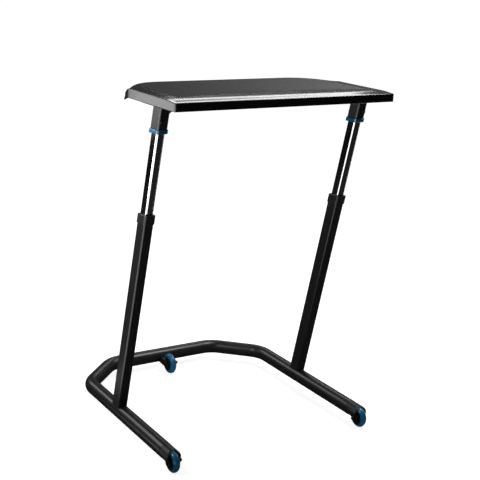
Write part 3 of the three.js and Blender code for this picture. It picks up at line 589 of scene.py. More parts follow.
select_only()
bpy.ops.mesh.primitive_circle_add(
    vertices=64, radius=bar_radius, location=(foot_x, foot_end_y, bar_height),
    rotation=(math.pi / 2, 0, 0),
)
base_tube = bpy.context.object
apply_place()
pick(base_tube, "EDGE", lambda start, end: True)
push((0, bend_start_y - foot_end_y, 0))
bend(first_turn, (foot_x - bend_radius, bend_start_y, bar_height))
push(slant * slant_length)
corner = Vector((foot_x, rear_bar_y - corner_along, bar_height))
bend_start = corner + slant * (first_run + slant_length)
bend(second_turn, bend_start + Vector((-slant.y, slant.x, 0)) * bend_radius)
push((-(foot_x - corner_across - second_run), 0, 0))
close_edit(base_tube)
print("half tube", size_of(base_tube))

# %% Mirror the tube and give it a wall
apply_modifier(base_tube, "MIRROR", use_clip=True, merge_threshold=0.0001)
pick(base_tube, "VERT", lambda place: True)
bpy.ops.mesh.remove_doubles(threshold=0.00001)
bpy.ops.mesh.normals_make_consistent(inside=False)
close_edit(base_tube)
give_wall(base_tube, bar_wall)
finish_edges(base_tube, 0.0004)
fit_piece(base_tube, "base_tube", "base", coat, name="base_tube_bent")

# %% [markdown]
# ## The wheels
# Each wheel is a black moulded centre with a blue tread poured round it, and the rear wheel is a
# little larger than the front ones. The tread is part of a ring with a round section, so a torus
# is sawn off on both sides and bored. The centre is turned, and the same for all three: a disc
# that is dished on both sides, with a hub in the middle and a groove for the tread between two low
# flanges.

# %% Cast the treads
front_radius, rear_radius = 0.036, 0.039
crown_radius, tread_half = 0.013, 0.011
groove_radius, running_gap = 0.024, 0.0003


def make_tread(wheel_radius):
    """A tread about the X axis: the outer part of a torus with flat sides."""
    select_only()
    bpy.ops.mesh.primitive_torus_add(
        major_radius=wheel_radius - crown_radius, minor_radius=crown_radius,
        major_segments=96, minor_segments=72, rotation=(0, math.pi / 2, 0),
    )
    tread = bpy.context.object
    apply_place()
    for side in (-1, 1):
        pick(tread, "FACE", lambda place, facing: True)
        bpy.ops.mesh.bisect(
            plane_co=(side * tread_half, 0, 0), plane_no=(side, 0, 0),
            clear_outer=True, use_fill=True,
        )
        close_edit(tread)
    cut(tread, level_rod(groove_radius + running_gap, wheel_radius, sides=96))
    return finish_edges(tread, 0.0005)


front_tread, rear_tread = make_tread(front_radius), make_tread(rear_radius)
print("treads", size_of(front_tread), "and", size_of(rear_tread))

# %% Turn a wheel centre
wheel_half, flange_radius, flange_round = 0.01225, 0.026, 0.0005
dish_rim, dish_depth, hub_radius, hub_half = 0.020, 0.005, 0.011, 0.01335
axle_radius, axle_gap = 0.004, 0.0004


def end_faces(place, facing):
    return abs(facing.x) > 0.9 and math.hypot(place.y, place.z) < 0.001


centre = level_rod(flange_radius, wheel_half, sides=96)
round_off(centre, "EDGE", lambda start, end: abs(start.x - end.x) < 0.0001, flange_round, 4)
for inset, rise in (
    (flange_radius - flange_round - dish_rim, -dish_depth),
    (dish_rim - hub_radius, hub_half - wheel_half + dish_depth),
):
    pick(centre, "FACE", end_faces)
    bpy.ops.mesh.inset(thickness=inset)
    pick(centre, "FACE", end_faces)
    bpy.ops.mesh.extrude_region_shrink_fatten(TRANSFORM_OT_shrink_fatten={"value": rise})
close_edit(centre)
groove = level_rod(rear_radius, tread_half + running_gap, sides=96)
cut(groove, level_rod(groove_radius, rear_radius, sides=96))
cut(centre, groove, level_rod(axle_radius + axle_gap, rear_radius))
finish_edges(centre, 0.0003)
print("wheel centre", size_of(centre))

# %% Set the three wheels
front_axle_y, rear_axle_y = -0.389, 0.3306
wheel_places = {
    "front_left": Vector((-foot_x, front_axle_y, front_radius)),
    "front_right": Vector((foot_x, front_axle_y, front_radius)),
    "rear": Vector((0, rear_axle_y, rear_radius)),
}
for where, place in wheel_places.items():
    tread = rear_tread if where == "rear" else front_tread
    for model, finish, kind in ((tread, tread_blue, "tyre"), (centre, plastic, "hub")):
        matrix = Matrix.Translation(place)
        fit_copy(model, matrix, f"wheel_{kind}_{where}", "wheel_" + where, finish)
put_away(front_tread, rear_tread, centre)

# %% [markdown]
# ## The front forks
# A moulded fork plugs into each open end of the base tube and carries the wheel in a slot that is
# open below and in front. It starts as a rod of nearly the tube's size. A block with one large
# rounded edge is kept in common with it to shape the nose, and the slot is an arched block taken
# away.

# %% Shape the nose and the plug of a fork
fork_radius, fork_nose, fork_back, plug_radius, plug_length = 0.0255, 0.008, 0.046, 0.0237, 0.04
nose_round, cheek, boss_radius, axle_height = 0.020, 0.019, 0.015, front_radius
under_all = -0.01

fork = rod(fork_radius, (0, -fork_nose, bar_height), (0, fork_back, bar_height), sides=64)
nose_top = bar_height + fork_radius
nose = block((-through, -fork_nose, under_all), (through, fork_back + past, nose_top))
round_off(
    nose, "EDGE", lambda start, end: all(p.y < 0 and p.z > bar_height for p in (start, end)),
    nose_round, 16,
)
combine(fork, nose, "INTERSECT")
plug_start, plug_end = fork_back - past, fork_back + plug_length
plug = rod(plug_radius, (0, plug_start, bar_height), (0, plug_end, bar_height), sides=64)
join(fork, plug, level_rod(boss_radius, cheek, 0, axle_height))
print("fork", size_of(fork))

# %% Slot and drill the fork, and plug in both
slot_half, slot_roof, arch_round, slot_front, slot_back = 0.01375, 0.074, 0.011, -0.06, 0.038
seat_radius, hole_gap = 0.009, 0.0003


def arch_edges(start, end):
    level = abs(start.x - end.x) < 0.001
    return level and all(p.z > bar_height and abs(p.x) > 0.01 for p in (start, end))


slot_block = block((-slot_half, slot_front, -past), (slot_half, slot_back, slot_roof))
round_off(slot_block, "EDGE", arch_edges, arch_round, 10)
cut(fork, slot_block)
for side in (-1, 1):
    cut(fork, rod(seat_radius, (side * cheek, 0, axle_height), (side * through, 0, axle_height)))
cut(fork, level_rod(axle_radius + hole_gap, through, 0, axle_height))
finish_edges(fork, 0.0007)
for where, side in sides:
    matrix = Matrix.Translation((side * foot_x, front_axle_y, 0))
    fit_copy(fork, matrix, f"front_fork_{where}", "base", plastic)
put_away(fork)

# %% [markdown]
# ## The rear wheel bracket
# A small cast bracket holds the third wheel in front of the rear bar. It is a block with a sloping
# foot and a rounded nose, slotted for the wheel and scooped out at the back to sit on the round
# bar.

# %% Shape the bracket
cheek_out, nose_reach, bracket_top, bracket_foot, heel_foot = 0.01875, 0.015, 0.056, 0.024, 0.030
nose_slope, nose_bevel = (0, 0.0075, -0.004), 0.0074
wheel_room_front, wheel_room_back, wheel_room_top = 0.25, rear_axle_y + rear_radius + 0.002, 0.1
bracket_middle = (bracket_foot + bracket_top) / 2

nose_y = rear_axle_y - nose_reach
bracket = block((-cheek_out, nose_y, bracket_foot), (cheek_out, rear_bar_y, bracket_top))
shift(
    bracket, lambda place: place.y > rear_axle_y and place.z < bracket_middle,
    (0, 0, heel_foot - bracket_foot),
)
shift(bracket, lambda place: place.y < rear_axle_y and place.z > bracket_middle, nose_slope)
round_off(
    bracket, "EDGE",
    lambda start, end: max(start.y, end.y) < rear_axle_y and abs(start.z - end.z) < 0.001,
    nose_bevel, 8,
)
wheel_room = block(
    (-slot_half, wheel_room_front, -past), (slot_half, wheel_room_back, wheel_room_top)
)
bar_seat = level_rod(bar_radius + hole_gap, through, rear_bar_y, bar_height, sides=96)
axle_drill = level_rod(axle_radius + hole_gap, through, rear_axle_y, rear_radius)
cut(bracket, wheel_room, bar_seat, axle_drill)
finish_edges(bracket, 0.0006)
fit_piece(bracket, "rear_bracket", "base", coat)

# %% [markdown]
# ## Bolts and nuts
# One way of making serves every bolt: a head with a rounded edge, a hexagon socket sunk into it,
# and a plain shank. The axle bolts end in domed cap nuts, so that nothing scratches the rider's
# shoes. All of them are drawn along Z first and then copied to where they belong.

# %% Helpers for bolts and nuts
edge_share, neck_share, socket_share = 0.3, 0.2, 0.45  # of the height of a bolt's head
socket_width = 0.8  # of the shank's radius
ball_share, ball_room = 0.6, 0.02  # where a nut's dome starts in the nut, and room for all of it


def make_bolt(head_radius, head_height, shank_radius, length):
    """A socket-head bolt with the seat of its head at the origin and its shank along +Z."""
    bolt = rod(head_radius, (0, 0, -head_height), (0, 0, 0))
    round_off(
        bolt, "EDGE", lambda start, end: max(start.z, end.z) < -head_height / 2,
        head_height * edge_share, 4,
    )
    join(bolt, rod(shank_radius, (0, 0, -head_height * neck_share), (0, 0, length), sides=32))
    socket = ((0, 0, -head_height - past), (0, 0, -head_height * socket_share))
    cut(bolt, rod(shank_radius * socket_width, *socket, sides=6))
    return finish_edges(bolt, 0.0002)


def make_nut(across, height, bore_radius, dome=0.0):
    """A hexagon nut from the origin up along Z, with a domed end if dome gives its height."""
    nut = rod(across / 2, (0, 0, 0), (0, 0, height), sides=6)
    if dome:
        flat = across * math.cos(math.pi / 6) / 2
        select_only()
        bpy.ops.mesh.primitive_uv_sphere_add(
            segments=32, ring_count=16, radius=flat, location=(0, 0, height),
            scale=(1, 1, dome / flat),
        )
        ball = bpy.context.object
        apply_place()
        low = (-ball_room, -ball_room, height * ball_share)
        combine(ball, block(low, (ball_room, ball_room, through)), "INTERSECT")
        join(nut, ball)
    cut(nut, rod(bore_radius, (0, 0, -past), (0, 0, height + (dome / 2 or past)), sides=32))
    return finish_edges(nut, 0.0003)


print("helpers for bolts and nuts are ready")

# %% Fit the wheel axles
axle_length = 2 * (cheek + hole_gap) + 0.007
axle_bolt = make_bolt(0.0065, 0.0035, axle_radius, axle_length)
cap_nut = make_nut(0.015, 0.007, axle_radius + hole_gap, dome=0.007)
for where, outward, half in (
    ("front_left", -1, cheek), ("front_right", 1, cheek), ("rear", -1, cheek_out),
):
    seat = Vector((outward * (half + hole_gap), 0, 0))
    for model, kind, offset in ((axle_bolt, "bolt", seat), (cap_nut, "nut", -seat)):
        matrix = facing((-outward, 0, 0), wheel_places[where] + offset)
        fit_copy(model, matrix, f"axle_{kind}_{where}", "base", bolt_black)
put_away(axle_bolt, cap_nut)

# %% [markdown]
# ## Working along a leaning leg
# Both legs lean forward by about 14 degrees, yet the ends of their tubes and collars are level. So
# each of these pieces starts as a level outline and is pulled up along the leg. The outline is a
# little deeper than the tube, because a level cut through a leaning tube is longer than a square
# one.

# %% Helpers for the legs
leg_up = Vector((0, -math.sin(leg_lean), math.cos(leg_lean)))
leg_front = Vector((0, -math.cos(leg_lean), -math.sin(leg_lean)))


def on_leg(side, up, right=0.0, front=0.0):
    """A point up a leg, right of its middle line and in front of it. Side 0 is a leg at x = 0."""
    return leg_foot + Vector((side * leg_x + right, 0, 0)) + leg_up * up + leg_front * front


def leg_stock(width, depth, round_corner, low, high):
    """A leaning bar of rounded section with level ends, for a leg at x = 0."""
    sheet = outline(on_leg(0, low), width, depth / math.cos(leg_lean), round_corner)
    return pull_up(sheet, leg_up * (high - low))


def square_stock(width, depth, round_corner, low, high):
    """The same, with ends cut square to the leg."""
    stock = pull_up(outline((0, 0, 0), width, depth, round_corner), (0, 0, high - low))
    return set_down(stock, leaning(on_leg(0, low)))


def leaning(place):
    """The matrix that takes an upright piece to a place on a leg, and leans it."""
    return Matrix.Translation(place) @ Matrix.Rotation(leg_lean, 4, "X")


def leg_place(side):
    return Matrix.Translation((side * leg_x, 0, 0))


def fit_both(model, stem, body, finish):
    """Fits a copy of a model on each leg. The model is used up."""
    for where, side in sides:
        fit_copy(model, leg_place(side), f"{stem}_{where}", body, finish)
    put_away(model)


def grown(section, added, corner_added=0.0):
    """The width, depth and corner of a section, made larger all round."""
    width, depth, corner = section
    return width + 2 * added, depth + 2 * added, corner + corner_added


def cross_drill(side, radius, up, right):
    """A rod from the front of a leg to its back, to drill with."""
    start, end = (on_leg(side, up, right, front) for front in (through, -through))
    return rod(radius, start, end, sides=32)


print("leg leans", round(math.degrees(leg_lean), 2), "degrees")

# %% [markdown]
# ## The outer tubes
# Each leg starts with a rectangular steel tube, 35 by 50 mm, welded to the foot bar. The end faces
# of the bar of stock are removed and the Solidify modifier gives the wall. Its foot is coped,
# which means cut to the shape of the round bar that it stands on.

# %% Make the outer tubes
tube_width, tube_depth, tube_corner, tube_wall = 0.035, 0.050, 0.006, 0.0015
collar_top, coping_half = 0.738, 0.12
tube_short = 0.0053  # room for the collar's lip over the tube
bolt_up, bolt_right, bolt_radius = 0.047, 0.006, 0.003
tube = (tube_width, tube_depth, tube_corner)

outer_tube = leg_stock(*tube, -bar_radius, collar_top - tube_short)
hollow(outer_tube, 2, tube_wall)
for where, side in sides:
    made = copy_to(outer_tube, leg_place(side))
    start, end = ((side * foot_x, y, bar_height) for y in (-coping_half, coping_half))
    cut(made, rod(bar_radius + hole_gap, start, end, sides=96))
    cut(made, cross_drill(side, bolt_radius + hole_gap, bolt_up, bolt_right))
    finish_edges(made, 0.0003)
    fit_piece(made, f"leg_tube_{where}", "base", coat)
put_away(outer_tube)

# %% [markdown]
# ## The collars on the outer tubes
# A moulded collar closes the top of each outer tube and guides the sliding tube. On its right it
# has a block that takes a small screw, to clamp the leg. The collar is a leaning bar with the room
# for the outer tube and the mouth for the inner tube taken out of it.

# %% Make the collars
collar_height, collar_wall, collar_lip, slide_gap = 0.0313, 0.0024, 0.005, 0.0004
inner_width, inner_depth, inner_corner, inner_wall = 0.030, 0.040, 0.008, 0.0018
block_face, block_width, block_high, block_corner = 0.0242, 0.034, 0.027, 0.003
block_in, block_top = 0.005, collar_top - 0.004
screw_up, screw_radius, bore_start, bore_end = block_top - block_high / 2, 0.0025, 0.008, 0.03

collar_foot = collar_top - collar_height
inner, tube_room = (inner_width, inner_depth, inner_corner), grown(tube, hole_gap)
collar = leg_stock(*grown(tube_room, collar_wall, collar_wall), collar_foot, collar_top)
clamp = leg_stock(2 * block_face, block_width, block_corner, block_top - block_high, block_top)
shift(clamp, lambda place: place.x < 0, (block_face - block_in, 0, 0))
join(collar, clamp)
cut(collar, leg_stock(*tube_room, collar_foot - past, collar_top - collar_lip))
mouth = grown(inner, slide_gap, slide_gap)
cut(collar, leg_stock(*mouth, collar_foot - past, collar_top + past))
start, end = (on_leg(0, screw_up, right) for right in (bore_start, bore_end))
cut(collar, rod(screw_radius + hole_gap, start, end, sides=32))
finish_edges(collar, 0.0008, segments=3)
fit_both(collar, "leg_collar", "base", plastic)

# %% Make the clamp screws
screw_tip, socket_floor, screw_end, hex_share = 0.0178, 0.0208, block_face - 0.0005, 0.7

screw = rod(screw_radius, *(on_leg(0, screw_up, right) for right in (screw_tip, screw_end)), 32)
socket = (on_leg(0, screw_up, right) for right in (socket_floor, bore_end))
cut(screw, rod(screw_radius * hex_share, *socket, sides=6))
finish_edges(screw, 0.0002)
fit_both(screw, "leg_collar_screw", "base", bolt_black)

# %% [markdown]
# ## The sliding tubes
# The inner tubes are bright and carry a row of slots 20 mm apart, near the right edge of their
# front face, which the lock uses and the rider counts to set both legs alike. A smaller bar taken
# out of a larger one leaves the tube. One slot cutter is made, and an Array modifier repeats it
# along the leg.

# %% Helpers for milling slots
slot_pitch, slot_count, slot_width, slot_height, slot_deep = 0.020, 12, 0.003, 0.008, 0.004
slot_round, slot_inset, first_slot = slot_width * 0.45, 0.0065, 0.022
slot_right, slot_face = inner_width / 2 - slot_inset, inner_depth / 2
pin_slot_half, pin_slot_high, pin_slot_round, pin_up = 0.0019, 0.0039, 0.0017, 1.020


def round_slot(half_width, half_depth, half_height, round_side):
    """A block with rounded sides, to mill a slot with."""
    reach = Vector((half_width, half_depth, half_height))
    milled = block(-reach, reach)
    round_off(milled, "EDGE", lambda start, end: abs(start.y - end.y) > half_depth, round_side, 5)
    return milled


def index_slots(side):
    """The row of slots at the right of one leg's sliding tube."""
    row = round_slot(slot_width / 2, slot_deep, slot_height / 2, slot_round)
    set_down(row, leaning(on_leg(side, collar_top + first_slot, slot_right, slot_face)))
    apply_modifier(
        row, "ARRAY", count=slot_count, use_relative_offset=False, use_constant_offset=True,
        constant_offset_displace=leg_up * slot_pitch,
    )
    return row


def pin_slot(side):
    """The slot that lets a release collar's pin move up and down."""
    milled = round_slot(pin_slot_half, through, pin_slot_high, pin_slot_round)
    return set_down(milled, Matrix.Translation(on_leg(side, pin_up)))


print(slot_count, "slots,", slot_pitch * 1000, "mm apart")

# %% Make the sliding tubes
sleeve_top, sleeve_foot, slide_foot, slide_top = 1.0998, 1.0253, 0.392, 1.088
sleeve_bolt_up, sleeve_bolt_out = sleeve_foot + 0.0347, 0.007

slide = square_stock(*inner, slide_foot, slide_top)
bar_inside = grown(inner, -inner_wall, -inner_wall)
cut(slide, square_stock(*bar_inside, slide_foot - past, slide_top + past))
for where, side in sides:
    made = copy_to(slide, leg_place(side))
    cut(made, cross_drill(side, bolt_radius + hole_gap, sleeve_bolt_up, side * sleeve_bolt_out))
    cut(made, pin_slot(side), index_slots(side))
    finish_edges(made, 0.0002)
    fit_piece(made, f"inner_tube_{where}", "desk", chrome)
put_away(slide)

# %% [markdown]
# ## The blue release collars
# Just under each sleeve sits a glossy blue collar that the rider lifts to free the leg. It is a
# shallow cup with well-rounded rims: its floor closes on the sliding tube, and its wall covers the
# foot of the sleeve. The large bevel comes first and the two rooms are cut afterwards, so they
# stay crisp.

# %% Make the release collars
release_foot, release_floor, release_wall, release_round = 1.015, 0.006, 0.003, 0.0022
release_top, pin_hole_radius = sleeve_foot + 0.0037, 0.0018

cup = grown(tube, slide_gap)
release = leg_stock(*grown(cup, release_wall, release_wall), release_foot, release_top)
round_off(release, "EDGE", lambda start, end: abs(start.z - end.z) < 0.0005, release_round, 6)
cut(release, leg_stock(*cup, release_foot + release_floor, release_top + past))
cut(release, leg_stock(*mouth, release_foot - past, release_top + past))
x, y, z = on_leg(0, release_foot + release_floor / 2, 0, through)
cut(release, rod(pin_hole_radius, (x, y, z), (x, y + 2 * through, z), sides=24))
finish_edges(release, 0.0003)
for where, side in sides:
    name = f"release_collar_{where}"
    fit_copy(release, leg_place(side), name, f"release_{where}", collar_blue)
put_away(release)

# %% [markdown]
# ## The upper sleeves
# A short steel sleeve is welded under the top on each side and the sliding tube is bolted into it.
# A small fin near the front stiffens it towards the middle of the desk. The fins mirror each
# other, so the sleeve itself is copied and each copy then gets its own fin.

# %% Helper for the fins
fin_reach, fin_drop, fin_thick, fin_setback, fin_root = 0.009, 0.004, 0.004, 0.004, 0.001


def make_fin(side):
    """A fin on the inner side of a sleeve, level on top and sloping below."""
    wall_x = side * (leg_x - tube_width / 2 + fin_root)
    tip_x = side * (leg_x - tube_width / 2 - fin_reach)
    front = on_leg(side, sleeve_top, 0, tube_depth / 2 - fin_setback)
    low = (min(wall_x, tip_x), front.y, front.z - fin_drop - fin_reach)
    fin = block(low, (max(wall_x, tip_x), front.y + fin_thick, front.z))
    shift(
        fin, lambda place: abs(place.x - tip_x) < 0.0001 and place.z < front.z - fin_drop,
        (0, 0, fin_reach),
    )
    fin_top = on_leg(side, sleeve_top).z
    return cut(fin, block((-1, -1, fin_top), (1, 1, fin_top + through)))


print("fins reach", fin_reach * 1000, "mm from the sleeves")

# %% Make the sleeves
bore = grown(inner, hole_gap, hole_gap)
sleeve = leg_stock(*tube, sleeve_foot, sleeve_top)
for where, side in sides:
    made = copy_to(sleeve, leg_place(side))
    join(made, make_fin(side))
    bore_bar = leg_stock(*bore, sleeve_foot - past, sleeve_top + past)
    bore_bar.matrix_world = leg_place(side)
    cut(made, bore_bar)
    cut(made, cross_drill(side, bolt_radius + hole_gap, sleeve_bolt_up, side * sleeve_bolt_out))
    finish_edges(made, 0.0005)
    fit_piece(made, f"upper_sleeve_{where}", "desk", coat)
put_away(sleeve)

# %% Fit the cross bolts of the legs and sleeves
cross_seat = tube_depth / 2 + hole_gap
cross_bolt = make_bolt(0.006, 0.004, bolt_radius, 2 * cross_seat + 0.0045)
cross_nut = make_nut(0.012, 0.0045, bolt_radius + hole_gap)
for where, side in sides:
    for owner, body, up, right in (
        ("leg", "base", bolt_up, bolt_right),
        ("sleeve", "desk", sleeve_bolt_up, side * sleeve_bolt_out),
    ):
        for model, kind, front in (
            (cross_bolt, "bolt", cross_seat), (cross_nut, "nut", -cross_seat),
        ):
            matrix = facing(-leg_front, on_leg(side, up, right, front))
            fit_copy(model, matrix, f"{owner}_{kind}_{where}", body, bolt_black)
put_away(cross_bolt, cross_nut)

# %% [markdown]
# ## The board of the top
# The top is one shaped board. Its front corners are nearly square and its rear corners are large
# and round. A sloping border runs round the flat middle, and behind the legs the border droops to
# a lip. The outline is drawn as a flat sheet first: its rear points are bevelled into arcs, and it
# is pulled up to the thickness of the front edge.

# %% Draw the board's outline
board_half, board_front, board_rear = 0.4035, -0.404, 0.053
edge_top, edge_thick, flat_top = 1.1768, 0.0268, 1.1821
rear_round, front_round = 0.156, 0.005

board_bottom = edge_top - edge_thick
board = flat_sheet(
    (0, (board_front + board_rear) / 2, board_bottom), 2 * board_half, board_rear - board_front
)
round_off(board, "VERT", lambda place: place.y > 0, rear_round, 40)
pull_up(board, (0, 0, edge_thick))
print("board outline has", len(board.data.vertices) // 2, "points")

# %% [markdown]
# ## The sloping border
# The border is drawn in by repeated insets, each a little higher than the last, on a curve that
# starts and ends level. It is wider in front than at the sides, so after each inset the front row
# of points is moved back by the difference. The underside gets the same rings, because its rear
# droops too. Last, the long sides are divided, because the border has to climb along them.

# %% Inset the border
border_steps, border_side, border_front, border_edge = 8, 0.043, 0.058, 0.002
middle_from, middle_to, side_cuts = -0.3, -0.01, 24
side_step = (border_side - border_edge) / border_steps
front_step = (border_front - border_side) / border_steps


def ease(share):
    """Runs from 0 to 1 with a level start and end."""
    share = min(max(share, 0), 1)
    return share * share * (3 - 2 * share)


def inset_border(upward, level, rise):
    """Insets the upper or lower face of the board in steps, raising it by rise in all."""
    for step in range(1, border_steps + 1):
        pick(
            board, "FACE", lambda place, facing: abs(place.x) < 0.001
            and facing.z * upward > 0.99 and middle_from < place.y < middle_to,
        )
        bpy.ops.mesh.inset(thickness=side_step + (border_edge if step == 1 else 0))
        lift = rise * (ease(step / border_steps) - ease((step - 1) / border_steps))
        bpy.ops.transform.translate(value=(0, 0, lift))
        level += lift
        row = board_front + border_edge + side_step * step + front_step * (step - 1)
        shift(
            board, lambda place: abs(place.z - level) < 0.00002 and abs(place.y - row) < 0.0004,
            (0, front_step, 0),
        )


inset_border(1, edge_top, flat_top - edge_top)
inset_border(-1, board_bottom, 0)
print("board stands", round(max(v.co.z for v in board.data.vertices), 4), "m high")

# %% Divide the long sides
arc_x, arc_y = board_half - rear_round, board_rear - rear_round


def inside_by(place):
    """How far a point lies in from the side or the rear of the board."""
    across, along = abs(place.x) - arc_x, place.y - arc_y
    if across > 0 and along > 0:
        return rear_round - math.hypot(across, along)
    return min(board_half - abs(place.x), board_rear - place.y)


pick(
    board, "EDGE",
    lambda start, end: abs(start.x - end.x) < 0.00001 and abs(start.y - end.y) > 0.1,
)
bpy.ops.mesh.subdivide(number_cuts=side_cuts)
pick(
    board, "FACE", lambda place, facing: abs(facing.z) > 0.999
    and inside_by(place) > border_side and place.y > board_front + border_front,
)
bpy.ops.mesh.dissolve_faces()
close_edit(board)
print("board has", len(board.data.polygons), "faces")

# %% [markdown]
# ## The climb and the lip
# Vertex groups say how strongly each point takes part: one for the edge that climbs behind the
# front corners, and two for the lip along the rear, over and under. A Displace modifier then moves
# the points up or down by that weight. This keeps the whole border smooth, which pulling single
# points by hand would not.

# %% Weigh and displace the points
edge_rise, climb_length = 0.0033, 0.058
lip_degrees, lip_drop_over, lip_drop_under = 21.5, 0.027, 0.0135


def side_share(place):
    return (inside_by(place) - border_edge) / (border_side - border_edge)


def lip_weight(place):
    across, along = abs(place.x) - arc_x, place.y - arc_y
    if along <= 0:
        return 0.0
    turned = math.degrees(math.atan2(along, max(across, 1e-9)))
    return ease(turned / lip_degrees) * (1 - min(max(side_share(place), 0), 1)) ** 2


def climb_weight(place):
    from_front = place.y - board_front
    front_share = (from_front - border_edge) / (border_front - border_edge)
    return ease(from_front / climb_length) * (1 - ease(min(side_share(place), front_share)))


def displace(piece, name, weigh, wanted, direction, strength):
    """Moves the wanted points along an axis, each by its own weight."""
    group = piece.vertex_groups.new(name=name)
    for point in piece.data.vertices:
        if wanted(point.co):
            group.add([point.index], weigh(point.co), "REPLACE")
    apply_modifier(
        piece, "DISPLACE", direction=direction, mid_level=0, strength=strength,
        vertex_group=name,
    )


middle_level = edge_top - edge_thick / 2
for name, upward, weigh, strength in (
    ("climb", 1, climb_weight, edge_rise),
    ("lip_over", 1, lip_weight, -lip_drop_over),
    ("lip_under", -1, lip_weight, -lip_drop_under),
):
    displace(board, name, weigh, lambda co: (co.z - middle_level) * upward > 0, "Z", strength)
print("board's lip reaches down to", round(min(v.co.z for v in board.data.vertices), 4), "m")

# %% [markdown]
# ## Corners, recess and screw holes
# The two front corners and the rims are rounded by bevels on just those edges. The mat lies in a
# shallow recess with a bowed front, so its outline is drawn once and used twice: a little larger
# to cut the recess, and at its own size for the mat itself.

# %% Round the board's corners and rims
corner_x, corner_y = board_half - front_round, board_front + front_round
rim_round, near = 0.002, 0.0002


def on_rim(place):
    return abs(inside_by(place)) < near or abs(place.y - board_front) < near


def on_corner(place):
    across, along = abs(place.x) - corner_x, corner_y - place.y
    off_arc = abs(math.hypot(across, along) - front_round)
    return min(across, along) > -near and off_arc < 3 * near


round_off(
    board, "EDGE",
    lambda start, end: abs(start.z - end.z) > 0.02 and start.y < board_front + 0.001,
    front_round, 6,
)
round_off(
    board, "EDGE", lambda start, end: abs(start.z - end.z) < 0.012
    and all(on_rim(place) or on_corner(place) for place in (start, end)), rim_round, 4,
)
print("board now has", len(board.data.polygons), "faces")

# %% Draw the mat's outline
mat_half, mat_front, mat_rear, mat_bow, mat_round = 0.353, -0.324, 0.008, 0.036, 0.108
recess_depth, mat_gap, mat_proud, mat_cuts = 0.003, 0.0003, 0.0006, 48


def mat_outline(level, grow):
    """A flat sheet of the mat's shape, larger by grow all round."""
    middle = (0, (mat_front + mat_rear) / 2, level)
    sheet = flat_sheet(middle, 2 * (mat_half + grow), mat_rear - mat_front + 2 * grow)
    round_off(sheet, "VERT", lambda place: place.y > mat_rear - 0.01, mat_round + grow, 32)
    pick(sheet, "EDGE", lambda start, end: max(start.y, end.y) < mat_front + 0.01)
    bpy.ops.mesh.subdivide(number_cuts=mat_cuts)
    close_edit(sheet)
    displace(
        sheet, "bow", lambda co: 1 - (co.x / mat_half) ** 2,
        lambda co: co.y < mat_front + 0.001, "Y", mat_bow,
    )
    return sheet


recess = pull_up(mat_outline(flat_top - recess_depth, mat_gap), (0, 0, recess_depth + past))
print("recess cutter", size_of(recess))

# %% Cut the recess and drill for the screws
plate_x, plate_y, plate_bottom, plate_thick = 0.3525, -0.2546, 1.1457, 0.004
plate_width, plate_depth, plate_corner, screw_inset = 0.078, 0.190, 0.008, 0.014
wood_radius, wood_depth = 0.0025, 0.013


def screw_places(side):
    """Where the three screws of a plate go: two inboard, one outboard behind the leg."""
    x, y = plate_width / 2 - screw_inset, plate_depth / 2 - screw_inset
    offsets = ((-side * x, -y), (-side * x, y), (side * x, y))
    return [(side * plate_x + dx, plate_y + dy) for dx, dy in offsets]


def drill_screws(piece, side, low, high):
    """Drills the three screw holes of one side from a low level to a high one."""
    for x, y in screw_places(side):
        cut(piece, rod(wood_radius + hole_gap, (x, y, low), (x, y, high), sides=24))


cut(board, recess)
for where, side in sides:
    drill_screws(board, side, board_bottom - past, board_bottom + wood_depth + hole_gap)
smooth(board)
fit_piece(board, "desk_top", "desk", board_black)

# %% [markdown]
# ## The mat
# The same outline, at its own size, is pulled up to a sheet three millimetres thick that stands
# just proud of the board. Its upper rim is rounded a little, as a moulded sheet's is.

# %% Make the mat
mat_low = flat_top - recess_depth + mat_gap
mat = pull_up(mat_outline(mat_low, 0), (0, 0, flat_top + mat_proud - mat_low))
finish_edges(mat, 0.0005, segments=3)
fit_piece(mat, "surface_mat", "desk", mat_grey)

# %% [markdown]
# ## Plates, screws and beam under the top
# A flat plate on top of each sleeve is screwed to the board, and a thin rectangular tube ties the
# two sleeves together behind. The plates are drawn as rounded sheets, pulled up and drilled. They
# mirror each other, so each one is made on its own side.

# %% Make the plates
for where, side in sides:
    middle = (side * plate_x, plate_y, plate_bottom)
    plate = pull_up(outline(middle, plate_width, plate_depth, plate_corner), (0, 0, plate_thick))
    drill_screws(plate, side, plate_bottom - past, plate_bottom + plate_thick + past)
    finish_edges(plate, 0.0005)
    fit_piece(plate, f"top_plate_{where}", "desk", coat)

# %% Make the plate screws
plate_screw = make_bolt(0.005, 0.0025, wood_radius, plate_thick + wood_depth)
for where, side in sides:
    for number, (x, y) in enumerate(screw_places(side), 1):
        matrix = Matrix.Translation((x, y, plate_bottom - hole_gap))
        fit_copy(plate_screw, matrix, f"plate_screw_{where}_{number}", "desk", zinc)
put_away(plate_screw)

# %% Make the cross beam
beam_half, beam_rear, beam_depth, beam_high, beam_wall = 0.3545, -0.2406, 0.030, 0.016, 0.0015

beam_round, beam_top = 0.003, plate_bottom - hole_gap
beam_front, beam_bottom = beam_rear - beam_depth, beam_top - beam_high
beam = block((-beam_half, beam_front, beam_bottom), (beam_half, beam_rear, beam_top))
round_off(beam, "EDGE", lambda start, end: abs(start.x - end.x) > beam_half, beam_round, 6)
hollow(beam, 0, beam_wall)
finish_edges(beam, 0.0003)
fit_piece(beam, "cross_beam", "desk", coat)
